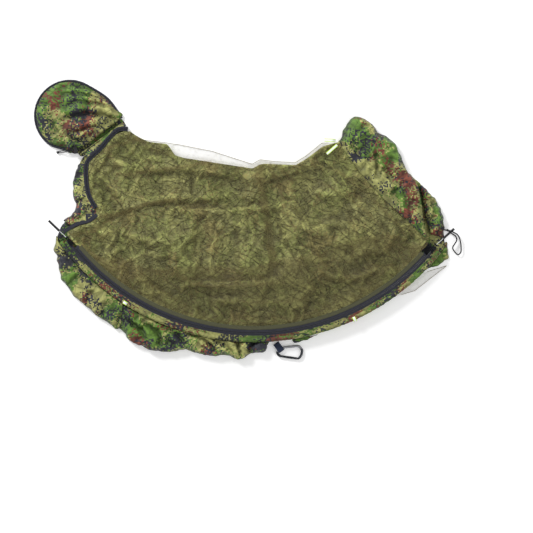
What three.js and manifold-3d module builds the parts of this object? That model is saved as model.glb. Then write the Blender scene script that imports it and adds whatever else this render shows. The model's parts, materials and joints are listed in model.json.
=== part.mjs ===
// A camouflage bivy sack with a zipped insect net, laid out flat on the ground.
// Millimetres, +Z up. The ground is z = 0, the hood lies at -X +Y and the foot end at +X.
// The origin is on the ground, under the middle of the sack, on the hoop's line of symmetry.
import * as THREE from "three";
import { mergeVertices } from "three/addons/utils/BufferGeometryUtils.js";
import Module from "manifold-3d";

const wasm = await Module();
wasm.setup();

// ---------------------------------------------------------------- driving dimensions
const ZIP_RADIUS = 715; // the hoop holds the zip on a true arc
const ARC_CENTRE_Y = 415;
const ZIP_HEIGHT = 30; // middle of the zip tape above the ground
const FOLD_LINE_Y = -25; // the net door folds back about this chord of the arc
const FOLD_GAP = 1; // from the fold line to the upper net's edge
const FABRIC_GAP = 0.5; // air left between neighbouring layers
const SHEET = 3; // thickness of a laid-down fabric layer
const ARC_STEPS = 38; // segments over the whole zip arc

const SKIRT_LEFT_TOP = 31; // heights that the bunched-up fabric reaches
const SKIRT_GATHERED_TOP = 38;
const SKIRT_FLAP_TOP = 9;
const LEFT_WALL_TOP = 26;
const NECK_TOP = 14; // the hood folds about the neck's top edge
const FOOT_PANEL_TOP = 48;
const FOOT_FOLD_TOP = 28;
const FOOT_CORNER_TOP = 14;

const SLEEVE_OFFSET = 22; // middle of the hoop sleeve, outside the zip line
const SLEEVE_RADIUS = 8;
const SLEEVE_BORE = 5;
const HOOP_RADIUS = 3.4;
const SIDE_WALL_HALF_WIDTH = 4;

const TAPE_INNER = 4; // edges of the zip tape, from the zip line
const TAPE_OUTER = 13.5;
const TAPE_HALF_THICKNESS = 0.5;
const TEETH_NEAR = 1;
const TEETH_FAR = 3.6;
const TEETH_HALF_HEIGHT = 1.8;
const HEAD_TAPE_HALF_WIDTH = 7;
const CORNER_TAPE_HALF_WIDTH = 6;
const CORNER_TAPE_Z = [27, 28.2];
const HEAD_TEETH_Z = [30.9, 33.1];

// Angles along the arc, in degrees from straight down (-Y), positive towards +X.
const ARC_LEFT = -53.4; // ends of the half of the zip that is sewn to the shell
const ARC_RIGHT = 51.4;
const DOOR_LEFT = -50.8; // ends of the half that is sewn to the net door
const DOOR_RIGHT = 48.4;
const STOP_BEYOND = 0.5; // from the end of the chain to the block that ends it
const SLIDER_LEFT_AT = -52.3;
const SLIDER_RIGHT_AT = 50;

const SLIDER_LENGTH = 14;
const SLIDER_HALF_WIDTH = 6;
const SLIDER_PLATE = 1.5;
const SLIDER_CLEARANCE = 0.6; // from the teeth to the slider's plates
const PIVOT_HEIGHT = 36; // pull pivot above the ground
const PULL_TILT = 7; // degrees, so that cord and grip pass over the sleeve
const PULL_YAW = 8; // degrees, the way the cord leans outwards
const TAB_HOLE_AT = 18; // middle of the cord's hole, from the pivot
const CORD_RADIUS = 1;
const GRIP_START = 52; // from the pivot
const GRIP_LENGTH = 45;
const GRIP_RADIUS = 4;
const GRIP_BORE = 2.9;

const NET_HALF_THICKNESS = 0.8;
const BINDING_WIDTH = 7.5;

const HOOD_CENTRE = [-572, 374];
const HOOD_RADIUS = 112;
const HOOD_RIM_INSET = 4;
const HOOD_CLOTH_INSET = 10;
const HOOD_RIM_Z = 7;
const HOOD_BACK_Z = [0.4, 3.4];
const HOOD_FRONT_Z = [10, 13];
const PIPING_RADIUS = 4;
const PIPING_BORE = 2.4;
const HOOD_WIRE_RADIUS = 1.4;

const CORD_LOCK_AT = [-553, 268];
const CORD_LOCK_Z = 19;
const CORD_LOCK_TURN = 188; // degrees, the way the cord leaves the lock
const LOCK_TRAVEL = 3; // of the button
const SPRING_LENGTH = 4.4;
const SPRING_START = -10.3; // along the button's travel, from the cord
const CORD_SPREAD = 1.8; // from the lock's middle to each strand
const DRAWCORD_RADIUS = 1.1;

const CARABINER_Z = 7.5;
const CARABINER_BAR = 4; // radius
const GATE_BAR = 3.8; // radius
const GATE_PIVOT = [131, -380];
const GATE_TIP = [88, -374];
const GATE_OVERHANG = 2.8; // the gate's fork runs past its pivot and its tip by this
const GATE_ROOM_BEYOND = [3.8, 5.6]; // free space past the tip and past the pivot
const TONGUE = 1.4; // half thickness of the flat tongues that the gate's forks straddle
const TONGUE_HALF_WIDTH = 2.8;
const TONGUE_REACH = 2.6; // into the gate, from the pivot or the tip
const PIN_RADIUS = 1.1;

const LOOP_BAR_POINT = [83, -353.5]; // middle of the bar that the webbing holds
const LOOP_DIRECTION = 306; // degrees, from the sack towards the carabiner
const LOOP_INSIDE = 5; // radius inside the webbing's turn
const LOOP_THICKNESS = 1.2;
const LOOP_LENGTH = 20; // between the middles of its two turns
const WEBBING_WIDTH = 20;

const FOOT_CORD_Z = 10;
const FOOT_CORD_RADIUS = 2;

// ---------------------------------------------------------------- materials
function material(color, roughness, metalness = 0) {
  return new THREE.MeshStandardMaterial({ color, roughness, metalness });
}
const MATERIAL = {
  shell: material(0x70803f, 0.85),
  lining: material(0x77744a, 0.85),
  net: material(0x6a6440, 0.95),
  piping: material(0x2e2f36, 0.85),
  tape: material(0x2c2d36, 0.85),
  teeth: material(0x24252c, 0.45),
  zipMetal: material(0x1d1e20, 0.4, 0.8),
  blackPlastic: material(0x151516, 0.6),
  whiteCord: material(0xe4e8e2, 0.6),
  blackCord: material(0x141415, 0.8),
  webbing: material(0x262f42, 0.8),
  reflective: material(0xf2f6e6, 0.4),
  aluminium: material(0x5c5f60, 0.35, 1),
  glassFibre: material(0x2a2b2b, 0.4),
  steel: material(0x9a9c9e, 0.3, 1),
};

const sack = new THREE.Group();

function add(name, geometry, meshMaterial, parent = sack) {
  const mesh = new THREE.Mesh(geometry, meshMaterial);
  mesh.name = name;
  parent.add(mesh);
}

// A group at a point, turned about Z.
function frameAt([x, y, z], degrees, parent = sack) {
  const frame = new THREE.Group();
  frame.position.set(x, y, z);
  frame.rotation.z = radians(degrees);
  parent.add(frame);
  return frame;
}

// ---------------------------------------------------------------- geometry helpers
function radians(degrees) {
  return THREE.MathUtils.degToRad(degrees);
}

// A point on a circle about the hoop's centre.
function onArc(radius, degrees) {
  const a = radians(degrees);
  return [radius * Math.sin(a), ARC_CENTRE_Y - radius * Math.cos(a)];
}

function arcPoints(radius, from, to) {
  const share = Math.abs(to - from) / (ARC_RIGHT - ARC_LEFT);
  const count = Math.max(2, Math.ceil(ARC_STEPS * share));
  return Array.from({ length: count + 1 }, (_, i) => onArc(radius, from + ((to - from) * i) / count));
}

// A curve through points; a point without a height lies at z.
function curveThrough(points, z = 0) {
  const vectors = points.map(([x, y, height = z]) => new THREE.Vector3(x, y, height));
  return new THREE.CatmullRomCurve3(vectors, false, "centripetal");
}

// A flat layer with the given outline.
function layer(outline, low, high) {
  const shape = new THREE.Shape(outline.map(([x, y]) => new THREE.Vector2(x, y)));
  const slab = new THREE.ExtrudeGeometry(shape, { depth: high - low, bevelEnabled: false });
  return slab.translate(0, 0, low);
}

// A ring segment about the hoop's centre.
function arcBand(inner, outer, from, to, low, high) {
  return layer([...arcPoints(outer, from, to), ...arcPoints(inner, to, from)], low, high);
}

// A flat ribbon along an open path.
function ribbon(path, halfWidth, low, high) {
  const curve = curveThrough(path);
  const steps = 3 * (path.length - 1);
  const side = (sign) =>
    Array.from({ length: steps + 1 }, (_, i) => {
      const p = curve.getPointAt(i / steps);
      const t = curve.getTangentAt(i / steps);
      return [p.x - sign * t.y * halfWidth, p.y + sign * t.x * halfWidth];
    });
  return layer([...side(-1), ...side(1).reverse()], low, high);
}

function circle(radius, sides) {
  return Array.from({ length: sides }, (_, i) => {
    const a = (2 * Math.PI * i) / sides;
    return new THREE.Vector2(radius * Math.cos(a), radius * Math.sin(a));
  });
}

// A round section, or a hose's section if it has a bore.
function ringShape(radius, sides, bore = 0) {
  const shape = new THREE.Shape(circle(radius, sides));
  if (bore > 0) shape.holes.push(new THREE.Path(circle(bore, sides).reverse()));
  return shape;
}

function sweep(curve, section, steps) {
  return new THREE.ExtrudeGeometry(section, { steps, extrudePath: curve, bevelEnabled: false });
}

// An arc of the circle about the hoop's centre, at one height.
class ArcCurve extends THREE.Curve {
  constructor(radius, from, to, z) {
    super();
    Object.assign(this, { radius, from, to, z });
  }
  getPoint(t, target = new THREE.Vector3()) {
    const [x, y] = onArc(this.radius, this.from + (this.to - this.from) * t);
    return target.set(x, y, this.z);
  }
}

function box(x0, x1, y0, y1, z0, z1) {
  const middle = [(x0 + x1) / 2, (y0 + y1) / 2, (z0 + z1) / 2];
  return new THREE.BoxGeometry(x1 - x0, y1 - y0, z1 - z0).translate(...middle);
}

// Round bars along X and along Z, centred on the origin.
function barX(radius, length, sides) {
  return new THREE.CylinderGeometry(radius, radius, length, sides).rotateZ(Math.PI / 2);
}
function barZ(radius, length) {
  return new THREE.CylinderGeometry(radius, radius, length, 12).rotateX(Math.PI / 2);
}

function knot(radius, [x, y, z]) {
  return new THREE.IcosahedronGeometry(radius, 1).translate(x, y, z);
}

// ---------------------------------------------------------------- joining and cutting
function solid(geometry) {
  const bare = geometry.clone();
  bare.deleteAttribute("normal");
  bare.deleteAttribute("uv");
  const merged = mergeVertices(bare, 1e-3);
  const vertProperties = new Float32Array(merged.attributes.position.array);
  const triVerts = new Uint32Array(merged.index.array);
  return new wasm.Manifold(new wasm.Mesh({ numProp: 3, vertProperties, triVerts }));
}

function geometryOf(manifold) {
  const { vertProperties, triVerts } = manifold.getMesh();
  const geometry = new THREE.BufferGeometry();
  geometry.setAttribute("position", new THREE.BufferAttribute(vertProperties, 3));
  geometry.setIndex(new THREE.BufferAttribute(triVerts, 1));
  geometry.computeVertexNormals();
  return geometry;
}

function join(...pieces) {
  return geometryOf(pieces.map(solid).reduce((whole, piece) => whole.add(piece)));
}

function cut(body, ...tools) {
  return geometryOf(tools.map(solid).reduce((rest, tool) => rest.subtract(tool), solid(body)));
}

// ---------------------------------------------------------------- ground sheet and lining
const LEFT_EDGE = [[-548, 228], [-562, 166], [-568, 130], [-548, 100], [-562, 72], [-601, 46]];
const SKIRT_EDGE = [[-618, 4], [-621, -28], [-601, -135], [-550, -194], [-495, -242], [-415, -297]];
const GATHER_EDGE = [
  [-364, -338], [-298, -360], [-245, -360], [-218, -347], [-155, -374], [-87, -369], [-44, -388],
  [-9, -360], [34, -366],
];
const LOOP_NOTCH = [[42, -350], [54, -320], [90, -312], [100, -325]]; // the webbing comes out here
const FLAP_EDGE = [[110, -329], [130, -332], [165, -323], [200, -308]];
const CORNER_EDGE = [[560, -97], [607, -74], [598, -12]];
const FOOT_EDGE = [
  [597, 20], [585, 90], [527, 160], [466, 218], [441, 291], [377, 329], [350, 368], [302, 372],
  [260, 290],
];
const TOP_EDGE = [
  [211, 283], [163, 246], [128, 226], [62, 228], [-6, 222], [-124, 238], [-219, 252], [-236, 272],
  [-341, 290], [-378, 314],
];
const NECK_EDGE = [[-404, 352], [-540, 250]];

const SLEEVE_LINE = ZIP_RADIUS + SLEEVE_OFFSET;
const SLEEVE_OUTSIDE = SLEEVE_LINE + SLEEVE_RADIUS;
const SECOND_LAYER = SHEET + FABRIC_GAP; // everything that lies on the ground sheet starts here

function groundSheet() {
  const leftAndBottom = [...LEFT_EDGE, ...SKIRT_EDGE, ...GATHER_EDGE, ...LOOP_NOTCH, ...FLAP_EDGE];
  const rightAndTop = [...CORNER_EDGE, ...FOOT_EDGE, ...TOP_EDGE, ...NECK_EDGE];
  return layer([...leftAndBottom, ...arcPoints(SLEEVE_OUTSIDE, 17, 45), ...rightAndTop], 0, SHEET);
}

// The lining's outline keeps inside the zip, the head end and the foot panel.
function innerLining() {
  const zipSide = arcPoints(ZIP_RADIUS - 8, DOOR_LEFT, 46);
  const footSide = [[520, -10], [455, 50], [388, 112], [312, 196], [236, 282]];
  const topSide = [
    [163, 232], [128, 212], [62, 214], [-6, 208], [-124, 224], [-219, 238], [-341, 276], [-392, 306],
  ];
  const headSide = [[-452, 268], [-497, 190], [-472, 100], [-450, 60], [-505, 22]];
  return layer([...zipSide, ...footSide, ...topSide, ...headSide], SECOND_LAYER, SECOND_LAYER + SHEET);
}

add("ground_sheet", groundSheet(), MATERIAL.shell);
add("inner_lining", innerLining(), MATERIAL.lining);

// ---------------------------------------------------------------- soft walls round the rim
// Cloth that stands up from the ground sheet, with a small gap to the hoop's sleeve.
function wall(name, outline, top) {
  add(name, layer(outline, SECOND_LAYER, top), MATERIAL.shell);
}
const sleeveSide = (from, to) => arcPoints(SLEEVE_OUTSIDE + 1, from, to);

wall("skirt_left", [[-612, 10], ...SKIRT_EDGE, ...sleeveSide(-33, -54.6)], SKIRT_LEFT_TOP);
wall("skirt_gathered", [[-405, -302], ...GATHER_EDGE, ...sleeveSide(3.2, -32.2)], SKIRT_GATHERED_TOP);
wall("skirt_flap", [...FLAP_EDGE, ...sleeveSide(16.2, 8.8)], SKIRT_FLAP_TOP);
wall("foot_corner", [...CORNER_EDGE, ...sleeveSide(52.5, 46.8)], FOOT_CORNER_TOP);

const LEFT_ZIP_SIDE = [
  [-524, 38], [-500, 56], [-499, 80], [-519, 106], [-533, 143], [-535, 190], [-530, 226],
];
wall("left_wall", [...LEFT_EDGE, ...LEFT_ZIP_SIDE], LEFT_WALL_TOP);

const NECK_ZIP_SIDE = [[-515, 243], [-489, 268], [-458, 302], [-424, 330], [-396, 338]];
wall("neck_band", [[-404, 354], [-534, 257], ...NECK_ZIP_SIDE], NECK_TOP);

const FOOT_OUTSIDE = [[260, 290], [302, 372], [350, 368], [377, 329], [441, 291], [466, 218], [505, 165]];
const FOOT_CREASE = [[517, 100], [524, 40], [533, 2]]; // between the panel and the fold beyond it
const FOOT_NET_SIDE = [[530, -6], [468, 52], [401, 114], [327, 197]];
wall("foot_panel", [...FOOT_OUTSIDE, ...FOOT_CREASE, ...FOOT_NET_SIDE], FOOT_PANEL_TOP);

const FOLD_OUTSIDE = [[515, 164], [527, 160], [582, 90], [593, 22], [588, -4]];
wall("foot_fold", [...FOLD_OUTSIDE, [548, 4], [532, 60], [523, 120]], FOOT_FOLD_TOP);

const sideWall = arcBand(
  SLEEVE_LINE - SIDE_WALL_HALF_WIDTH, SLEEVE_LINE + SIDE_WALL_HALF_WIDTH, -53, 50,
  SECOND_LAYER, ZIP_HEIGHT - SLEEVE_RADIUS - FABRIC_GAP,
);
add("side_wall", sideWall, MATERIAL.shell);

// ---------------------------------------------------------------- hoop and its sleeve
const sleeveCurve = new ArcCurve(SLEEVE_LINE, ARC_LEFT - 0.6, ARC_RIGHT - 0.4, ZIP_HEIGHT);
const hoopCurve = new ArcCurve(SLEEVE_LINE, ARC_LEFT - 0.3, ARC_RIGHT - 0.7, ZIP_HEIGHT);
add("hoop_sleeve", sweep(sleeveCurve, ringShape(SLEEVE_RADIUS, 8, SLEEVE_BORE), ARC_STEPS), MATERIAL.shell);
add("hoop_rod", sweep(hoopCurve, ringShape(HOOP_RADIUS, 6), ARC_STEPS), MATERIAL.glassFibre);

// ---------------------------------------------------------------- zip
const door = new THREE.Group(); // everything that folds back with the net
sack.add(door);

// One half of the zip: side is 1 for the shell's half and -1 for the net's.
function zipHalf(suffix, side, from, to, parent) {
  const band = (near, far, halfHeight) => {
    const [inner, outer] = [ZIP_RADIUS + side * near, ZIP_RADIUS + side * far].sort((a, b) => a - b);
    return arcBand(inner, outer, from, to, ZIP_HEIGHT - halfHeight, ZIP_HEIGHT + halfHeight);
  };
  const tape = band(TAPE_INNER, TAPE_OUTER, TAPE_HALF_THICKNESS);
  add(`zip_tape_${suffix}`, tape, MATERIAL.tape, parent);
  const teeth = band(TEETH_NEAR, TEETH_FAR, TEETH_HALF_HEIGHT);
  add(`zip_teeth_${suffix}`, teeth, MATERIAL.teeth, parent);
}
zipHalf("shell_side", 1, ARC_LEFT, ARC_RIGHT, sack);
zipHalf("net_side", -1, DOOR_LEFT, DOOR_RIGHT, door);

// The zip goes on from the left corner to the notch, then up round the head end to the neck.
const CORNER_ZIP = [[-590, 12], [-550, 36], [-508, 49], [-486, 66]];
const HEAD_ZIP = [
  [-489, 86], [-511, 126], [-520, 189], [-515, 230], [-474, 272], [-446, 306], [-416, 331], [-390, 330],
];
const HEAD_TEETH_HALF_WIDTH = 2;
const headTape = ribbon(
  HEAD_ZIP, HEAD_TAPE_HALF_WIDTH, ZIP_HEIGHT - TAPE_HALF_THICKNESS, ZIP_HEIGHT + TAPE_HALF_THICKNESS,
);
add("corner_zip_tape", ribbon(CORNER_ZIP, CORNER_TAPE_HALF_WIDTH, ...CORNER_TAPE_Z), MATERIAL.tape);
add("head_zip_tape", headTape, MATERIAL.tape);
add("head_zip_teeth", ribbon(HEAD_ZIP, HEAD_TEETH_HALF_WIDTH, ...HEAD_TEETH_Z), MATERIAL.teeth);

// A frame on the zip line: x runs along the zip, away from the middle of the chain.
function zipFrame(degrees, z) {
  return frameAt([...onArc(ZIP_RADIUS, degrees), z], degrees < 0 ? degrees + 180 : degrees);
}

// Block that ends the chain, so that the slider can't run off it.
function zipStop(side, degrees) {
  const block = box(-2, 2, -3.4, 3.4, -2, 2);
  add(`zip_stop_${side}`, block, MATERIAL.zipMetal, zipFrame(degrees, ZIP_HEIGHT));
}
zipStop("left", ARC_LEFT - STOP_BEYOND);
zipStop("right", ARC_RIGHT + STOP_BEYOND);

// Two plates joined by a web between the teeth, small flanges over the tapes, and the pull's bridge.
function sliderBody() {
  const end = SLIDER_LENGTH / 2;
  const inner = TEETH_HALF_HEIGHT + SLIDER_CLEARANCE; // plate faces, from the tape's middle
  const outer = inner + SLIDER_PLATE;
  const overlap = 0.2; // joined pieces run this far into each other
  const topPlate = box(-end, end, -SLIDER_HALF_WIDTH, SLIDER_HALF_WIDTH, inner, outer);
  const bottomPlate = topPlate.clone().translate(0, 0, -inner - outer);
  const web = box(-5, 5, -0.45, 0.45, -inner - overlap, inner + overlap);
  const flange = (y0, z0) => box(-end, end, y0, y0 + 1, z0, z0 + 1.4);
  const flanges = [[4.4, 1.2], [-5.4, 1.2], [4.4, -2.6], [-5.4, -2.6]].map(([y0, z0]) => flange(y0, z0));
  const bridgeLow = 7.6; // underside of the arch that the pull's axle runs through
  const bridge = box(-5, 5, -1, 1, bridgeLow, bridgeLow + 1.4);
  const posts = [-5, 3].map((x0) => box(x0, x0 + 2, -1, 1, outer - overlap, bridgeLow + overlap));
  return join(topPlate, bottomPlate, web, ...flanges, bridge, ...posts);
}

// Metal tab on the slider's bridge; x runs from the pivot towards the grip.
function pullTab() {
  const axle = box(-1, 1, -3.2, 3.2, -1, 1);
  const arms = [-3.2, 1.6].map((y0) => box(-1, 8, y0, y0 + 1.6, -1, 1));
  const plate = box(7.5, 24, -4.5, 4.5, -0.9, 0.9);
  const hole = box(TAB_HOLE_AT - 2.5, TAB_HOLE_AT + 1.5, -2.4, 2.4, -2, 2);
  return cut(join(axle, ...arms, plate), hole);
}

// Cord through the tab's hole, x from the hole: both strands run into the grip.
function pullCord() {
  const strand = [[1.6, 2.7], [7, 2.8], [18, 1.9], [38, 1.3]];
  const under = strand.map(([x, z]) => [x, 0, -z]);
  const over = strand.map(([x, z]) => [x, 0, z]).reverse();
  return sweep(curveThrough([...over, [-1, 0, 0], ...under]), ringShape(CORD_RADIUS, 6), 26);
}

function pullGrip() {
  const section = ringShape(GRIP_RADIUS, 12, GRIP_BORE);
  const hose = new THREE.ExtrudeGeometry(section, { depth: GRIP_LENGTH, bevelEnabled: false });
  return hose.rotateY(Math.PI / 2).translate(GRIP_START - TAB_HOLE_AT, 0, 0);
}

// A slider with its tab, cord and grip; yaw is the cord's lean in the slider's frame.
function sliderWithPull(side, degrees, yaw) {
  add(`slider_${side}`, sliderBody(), MATERIAL.zipMetal, zipFrame(degrees, ZIP_HEIGHT));
  const pull = zipFrame(degrees, PIVOT_HEIGHT);
  add(`pull_tab_${side}`, pullTab(), MATERIAL.zipMetal, pull);
  const fromHole = frameAt([TAB_HOLE_AT, 0, 0], yaw, pull);
  fromHole.rotateY(radians(-PULL_TILT));
  add(`pull_cord_${side}`, pullCord(), MATERIAL.whiteCord, fromHole);
  add(`pull_grip_${side}`, pullGrip(), MATERIAL.blackPlastic, fromHole);
}
sliderWithPull("left", SLIDER_LEFT_AT, PULL_YAW);
sliderWithPull("right", SLIDER_RIGHT_AT, -PULL_YAW);

// ---------------------------------------------------------------- insect net
const NET_LOW = ZIP_HEIGHT - NET_HALF_THICKNESS;
const NET_HIGH = ZIP_HEIGHT + NET_HALF_THICKNESS;
const BINDING_OUTSIDE = ZIP_RADIUS - TAPE_OUTER - FABRIC_GAP;
const BINDING_INSIDE = BINDING_OUTSIDE - BINDING_WIDTH;

function netUpper() {
  const leftCorner = [[-546, FOLD_LINE_Y + FOLD_GAP], [-560, 0], [-530, 20], [-496, 30], [-462, 66]];
  const headSide = [
    [-478, 90], [-499, 131], [-508, 186], [-500, 226], [-462, 264], [-434, 297], [-408, 318], [-386, 318],
  ];
  const topSide = [
    [-360, 306], [-341, 297], [-236, 285], [-130, 264], [-6, 224], [19, 238], [62, 232], [128, 228],
    [163, 250], [211, 289], [256, 290],
  ];
  const footSide = [[322, 192], [397, 108], [464, 46], [526, -14], [532, FOLD_LINE_Y + FOLD_GAP]];
  return layer([...leftCorner, ...headSide, ...topSide, ...footSide].reverse(), NET_LOW, NET_HIGH);
}

// The door is the segment between its binding and a chord just below the fold line.
function netDoor() {
  const radius = BINDING_INSIDE - FABRIC_GAP;
  const depth = ARC_CENTRE_Y - FOLD_LINE_Y + 2.5 * FOLD_GAP;
  const corner = THREE.MathUtils.radToDeg(Math.acos(depth / radius));
  return layer(arcPoints(radius, -corner, corner), NET_LOW, NET_HIGH);
}

const binding = arcBand(
  BINDING_INSIDE, BINDING_OUTSIDE, DOOR_LEFT + 0.6, DOOR_RIGHT - 0.2, NET_LOW, NET_HIGH + 0.5,
);
add("net_upper", netUpper(), MATERIAL.net);
add("net_door", netDoor(), MATERIAL.net, door);
add("net_binding", binding, MATERIAL.lining, door);

// Loose net that lies on the ground outside the sleeve, at the foot.
const NET_TAIL = [...sleeveSide(36, 44.8), [600, -92], [500, -170]];
add("net_tail", layer(NET_TAIL.reverse(), 0.4, 2), MATERIAL.net);

// ---------------------------------------------------------------- hood
const hood = new THREE.Group();
sack.add(hood);

// The hood's outline: a round cap that tapers to the ends of the seam.
function hoodOutline(inset) {
  const [cx, cy] = HOOD_CENTRE;
  const cap = Array.from({ length: 15 }, (_, i) => {
    const a = radians(57 + (181 * i) / 14);
    return [cx + HOOD_RADIUS * Math.cos(a), cy + HOOD_RADIUS * Math.sin(a)];
  });
  const outline = [[-407, 366], [-424, 393], [-453, 430], ...cap, [-590, 266], [-555, 255]];
  return outline.map(([x, y]) => {
    const shrink = 1 - inset / Math.hypot(x - cx, y - cy);
    return [cx + (x - cx) * shrink, cy + (y - cy) * shrink];
  });
}

const hoodRim = curveThrough(hoodOutline(HOOD_RIM_INSET), HOOD_RIM_Z);
const HOOD_STEPS = 36;
const hoodCloth = hoodOutline(HOOD_CLOTH_INSET).reverse();
add("hood_back", layer(hoodCloth, ...HOOD_BACK_Z), MATERIAL.shell, hood);
add("hood_front", layer(hoodCloth, ...HOOD_FRONT_Z), MATERIAL.shell, hood);
const piping = sweep(hoodRim, ringShape(PIPING_RADIUS, 8, PIPING_BORE), HOOD_STEPS);
const rimWire = sweep(hoodRim, ringShape(HOOD_WIRE_RADIUS, 5), HOOD_STEPS);
add("hood_piping", piping, MATERIAL.piping, hood);
add("hood_wire", rimWire, MATERIAL.steel, hood);

// ---------------------------------------------------------------- hood drawcord with its spring lock
// x runs along the cord; the lock's y runs along its button, away from the seam.
const cordFrame = frameAt([...CORD_LOCK_AT, CORD_LOCK_Z], CORD_LOCK_TURN, hood);
const lockFrame = new THREE.Group();
lockFrame.rotation.x = Math.PI;
cordFrame.add(lockFrame);

function lockBody() {
  const shell = box(-5.5, 5.5, -12.5, 7, -5, 5);
  const bore = box(-3.6, 3.6, -11, 8, -3.6, 3.6);
  const cordHole = box(-8, 8, -4.2, 4.2, -1.9, 1.9);
  return cut(shell, bore, cordHole);
}

// The slot is longer than the cord is wide by the button's travel.
function lockButton() {
  const stem = box(-3, 3, -5.2, 10.6, -3, 3);
  const head = box(-4.6, 4.6, 10.4, 12.9, -4.2, 4.2);
  const slot = box(-8, 8, -4, 4 + LOCK_TRAVEL, -2, 2);
  return cut(join(stem, head), slot);
}

function lockSpring() {
  const [turns, perTurn, radius, wire] = [4, 8, 2.2, 0.25];
  const steps = turns * perTurn;
  const coil = Array.from({ length: steps + 1 }, (_, i) => {
    const a = (2 * Math.PI * i) / perTurn;
    return [radius * Math.cos(a), SPRING_START + (SPRING_LENGTH * i) / steps, radius * Math.sin(a)];
  });
  return sweep(curveThrough(coil), ringShape(wire, 5), steps);
}

// One strand: through the lock, over the hood's rim and down to the knot.
function drawcordStrand(offset) {
  const path = [
    [-16, offset * 1.6, -3], [-8, offset, -0.4], [0, offset, 0], [16, offset, 0],
    [34, offset * 1.4, -3], [46, offset * 1.3, -11], [52, offset, -13],
  ];
  return sweep(curveThrough(path), ringShape(DRAWCORD_RADIUS, 6), 20);
}

add("cord_lock_body", lockBody(), MATERIAL.blackPlastic, lockFrame);
add("cord_lock_button", lockButton(), MATERIAL.blackPlastic, lockFrame);
add("cord_lock_spring", lockSpring(), MATERIAL.steel, lockFrame);
add("drawcord_strand_a", drawcordStrand(CORD_SPREAD), MATERIAL.blackCord, cordFrame);
add("drawcord_strand_b", drawcordStrand(-CORD_SPREAD), MATERIAL.blackCord, cordFrame);
add("drawcord_knot", knot(4.2, [57.4, 0, -13.7]), MATERIAL.blackCord, cordFrame);

// ---------------------------------------------------------------- reflective tie-out tabs
// A folded strip of tape; x runs away from the seam that holds it.
function reflectiveTab(name, at, degrees, length, width) {
  const strip = box(0, length, -width / 2, width / 2, 0, 1.4);
  add(`reflective_tab_${name}`, strip, MATERIAL.reflective, frameAt(at, degrees));
}
const ON_SLEEVE = ZIP_HEIGHT + SLEEVE_RADIUS + 0.4;
// A tab over the sleeve points away from the hoop's centre.
function tabOverSleeve(name, degrees, length, width) {
  const start = onArc(SLEEVE_LINE - 4, degrees);
  reflectiveTab(name, [...start, ON_SLEEVE], degrees - 90, length, width);
}
tabOverSleeve("left", -32.6, 11, 13);
tabOverSleeve("right", 24.8, 16, 10);
reflectiveTab("foot_a", [257, 281, 33], 221, 42, 9);
reflectiveTab("foot_b", [252, 294, 36], 176, 34, 9);

// ---------------------------------------------------------------- carabiner on its webbing loop
// Ring of webbing round the carabiner's bar: x along the loop, the webbing's width along y.
function webbingLoop() {
  const halfTurn = (radius, from, centre) =>
    Array.from({ length: 7 }, (_, i) => {
      const a = radians(from + 30 * i);
      return new THREE.Vector2(centre + radius * Math.cos(a), radius * Math.sin(a));
    });
  const stadium = (radius) => [...halfTurn(radius, -90, 0), ...halfTurn(radius, 90, -LOOP_LENGTH)];
  const section = new THREE.Shape(stadium(LOOP_INSIDE + LOOP_THICKNESS));
  section.holes.push(new THREE.Path(stadium(LOOP_INSIDE).reverse()));
  const ring = new THREE.ExtrudeGeometry(section, { depth: WEBBING_WIDTH, bevelEnabled: false });
  return ring.rotateX(Math.PI / 2).translate(0, WEBBING_WIDTH / 2, 0);
}
const loopFrame = frameAt([...LOOP_BAR_POINT, CARABINER_Z], LOOP_DIRECTION);
add("webbing_loop", webbingLoop(), MATERIAL.webbing, loopFrame);

// The gate's frame: x from its pivot towards its tip.
const GATE_LENGTH = Math.hypot(GATE_TIP[0] - GATE_PIVOT[0], GATE_TIP[1] - GATE_PIVOT[1]);
const GATE_ANGLE = Math.atan2(GATE_TIP[1] - GATE_PIVOT[1], GATE_TIP[0] - GATE_PIVOT[0]);
const carabinerFrame = frameAt([0, 0, CARABINER_Z], 0);
const gateFrame = frameAt([...GATE_PIVOT, 0], THREE.MathUtils.radToDeg(GATE_ANGLE), carabinerFrame);

// The bent bar with a flat tongue at each side of the gate's opening, and the pin's hole.
function carabinerBody() {
  const bend = [
    [84, -374], [77, -370], [72.5, -363], [74, -360], [83, -353.5], [92, -347], [98, -345.3],
    [134, -342], [143, -345], [149, -356], [146, -371], [139, -379], [133, -380],
  ];
  const toGate = (geometry) => geometry.rotateZ(GATE_ANGLE).translate(...GATE_PIVOT, 0);
  const tongue = (from, to) =>
    toGate(box(from, to, -TONGUE_HALF_WIDTH, TONGUE_HALF_WIDTH, -TONGUE, TONGUE));
  const tongues = [tongue(-9, TONGUE_REACH), tongue(GATE_LENGTH - TONGUE_REACH, GATE_LENGTH + 8)];
  const [beyondTip, beyondPivot] = GATE_ROOM_BEYOND;
  const room = barX(CARABINER_BAR + 1.2, GATE_LENGTH + beyondTip + beyondPivot, 12);
  room.translate((GATE_LENGTH + beyondTip - beyondPivot) / 2, 0, 0);
  const bar = cut(sweep(curveThrough(bend), ringShape(CARABINER_BAR, 8), 34), toGate(room));
  return cut(join(bar, ...tongues), barZ(PIN_RADIUS + 0.35, 12).translate(...GATE_PIVOT, 0));
}

// A bar with a fork at each end, which straddles the body's tongues.
function carabinerGate() {
  const bar = barX(GATE_BAR, GATE_LENGTH + 2 * GATE_OVERHANG, 10).translate(GATE_LENGTH / 2, 0, 0);
  const slot = (from, to) => box(from, to, -6, 6, -TONGUE - 0.4, TONGUE + 0.4);
  const slots = [slot(-4, 4.2), slot(GATE_LENGTH - 4.2, GATE_LENGTH + 4)];
  return cut(bar, ...slots, barZ(PIN_RADIUS + 0.3, 12));
}

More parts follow.
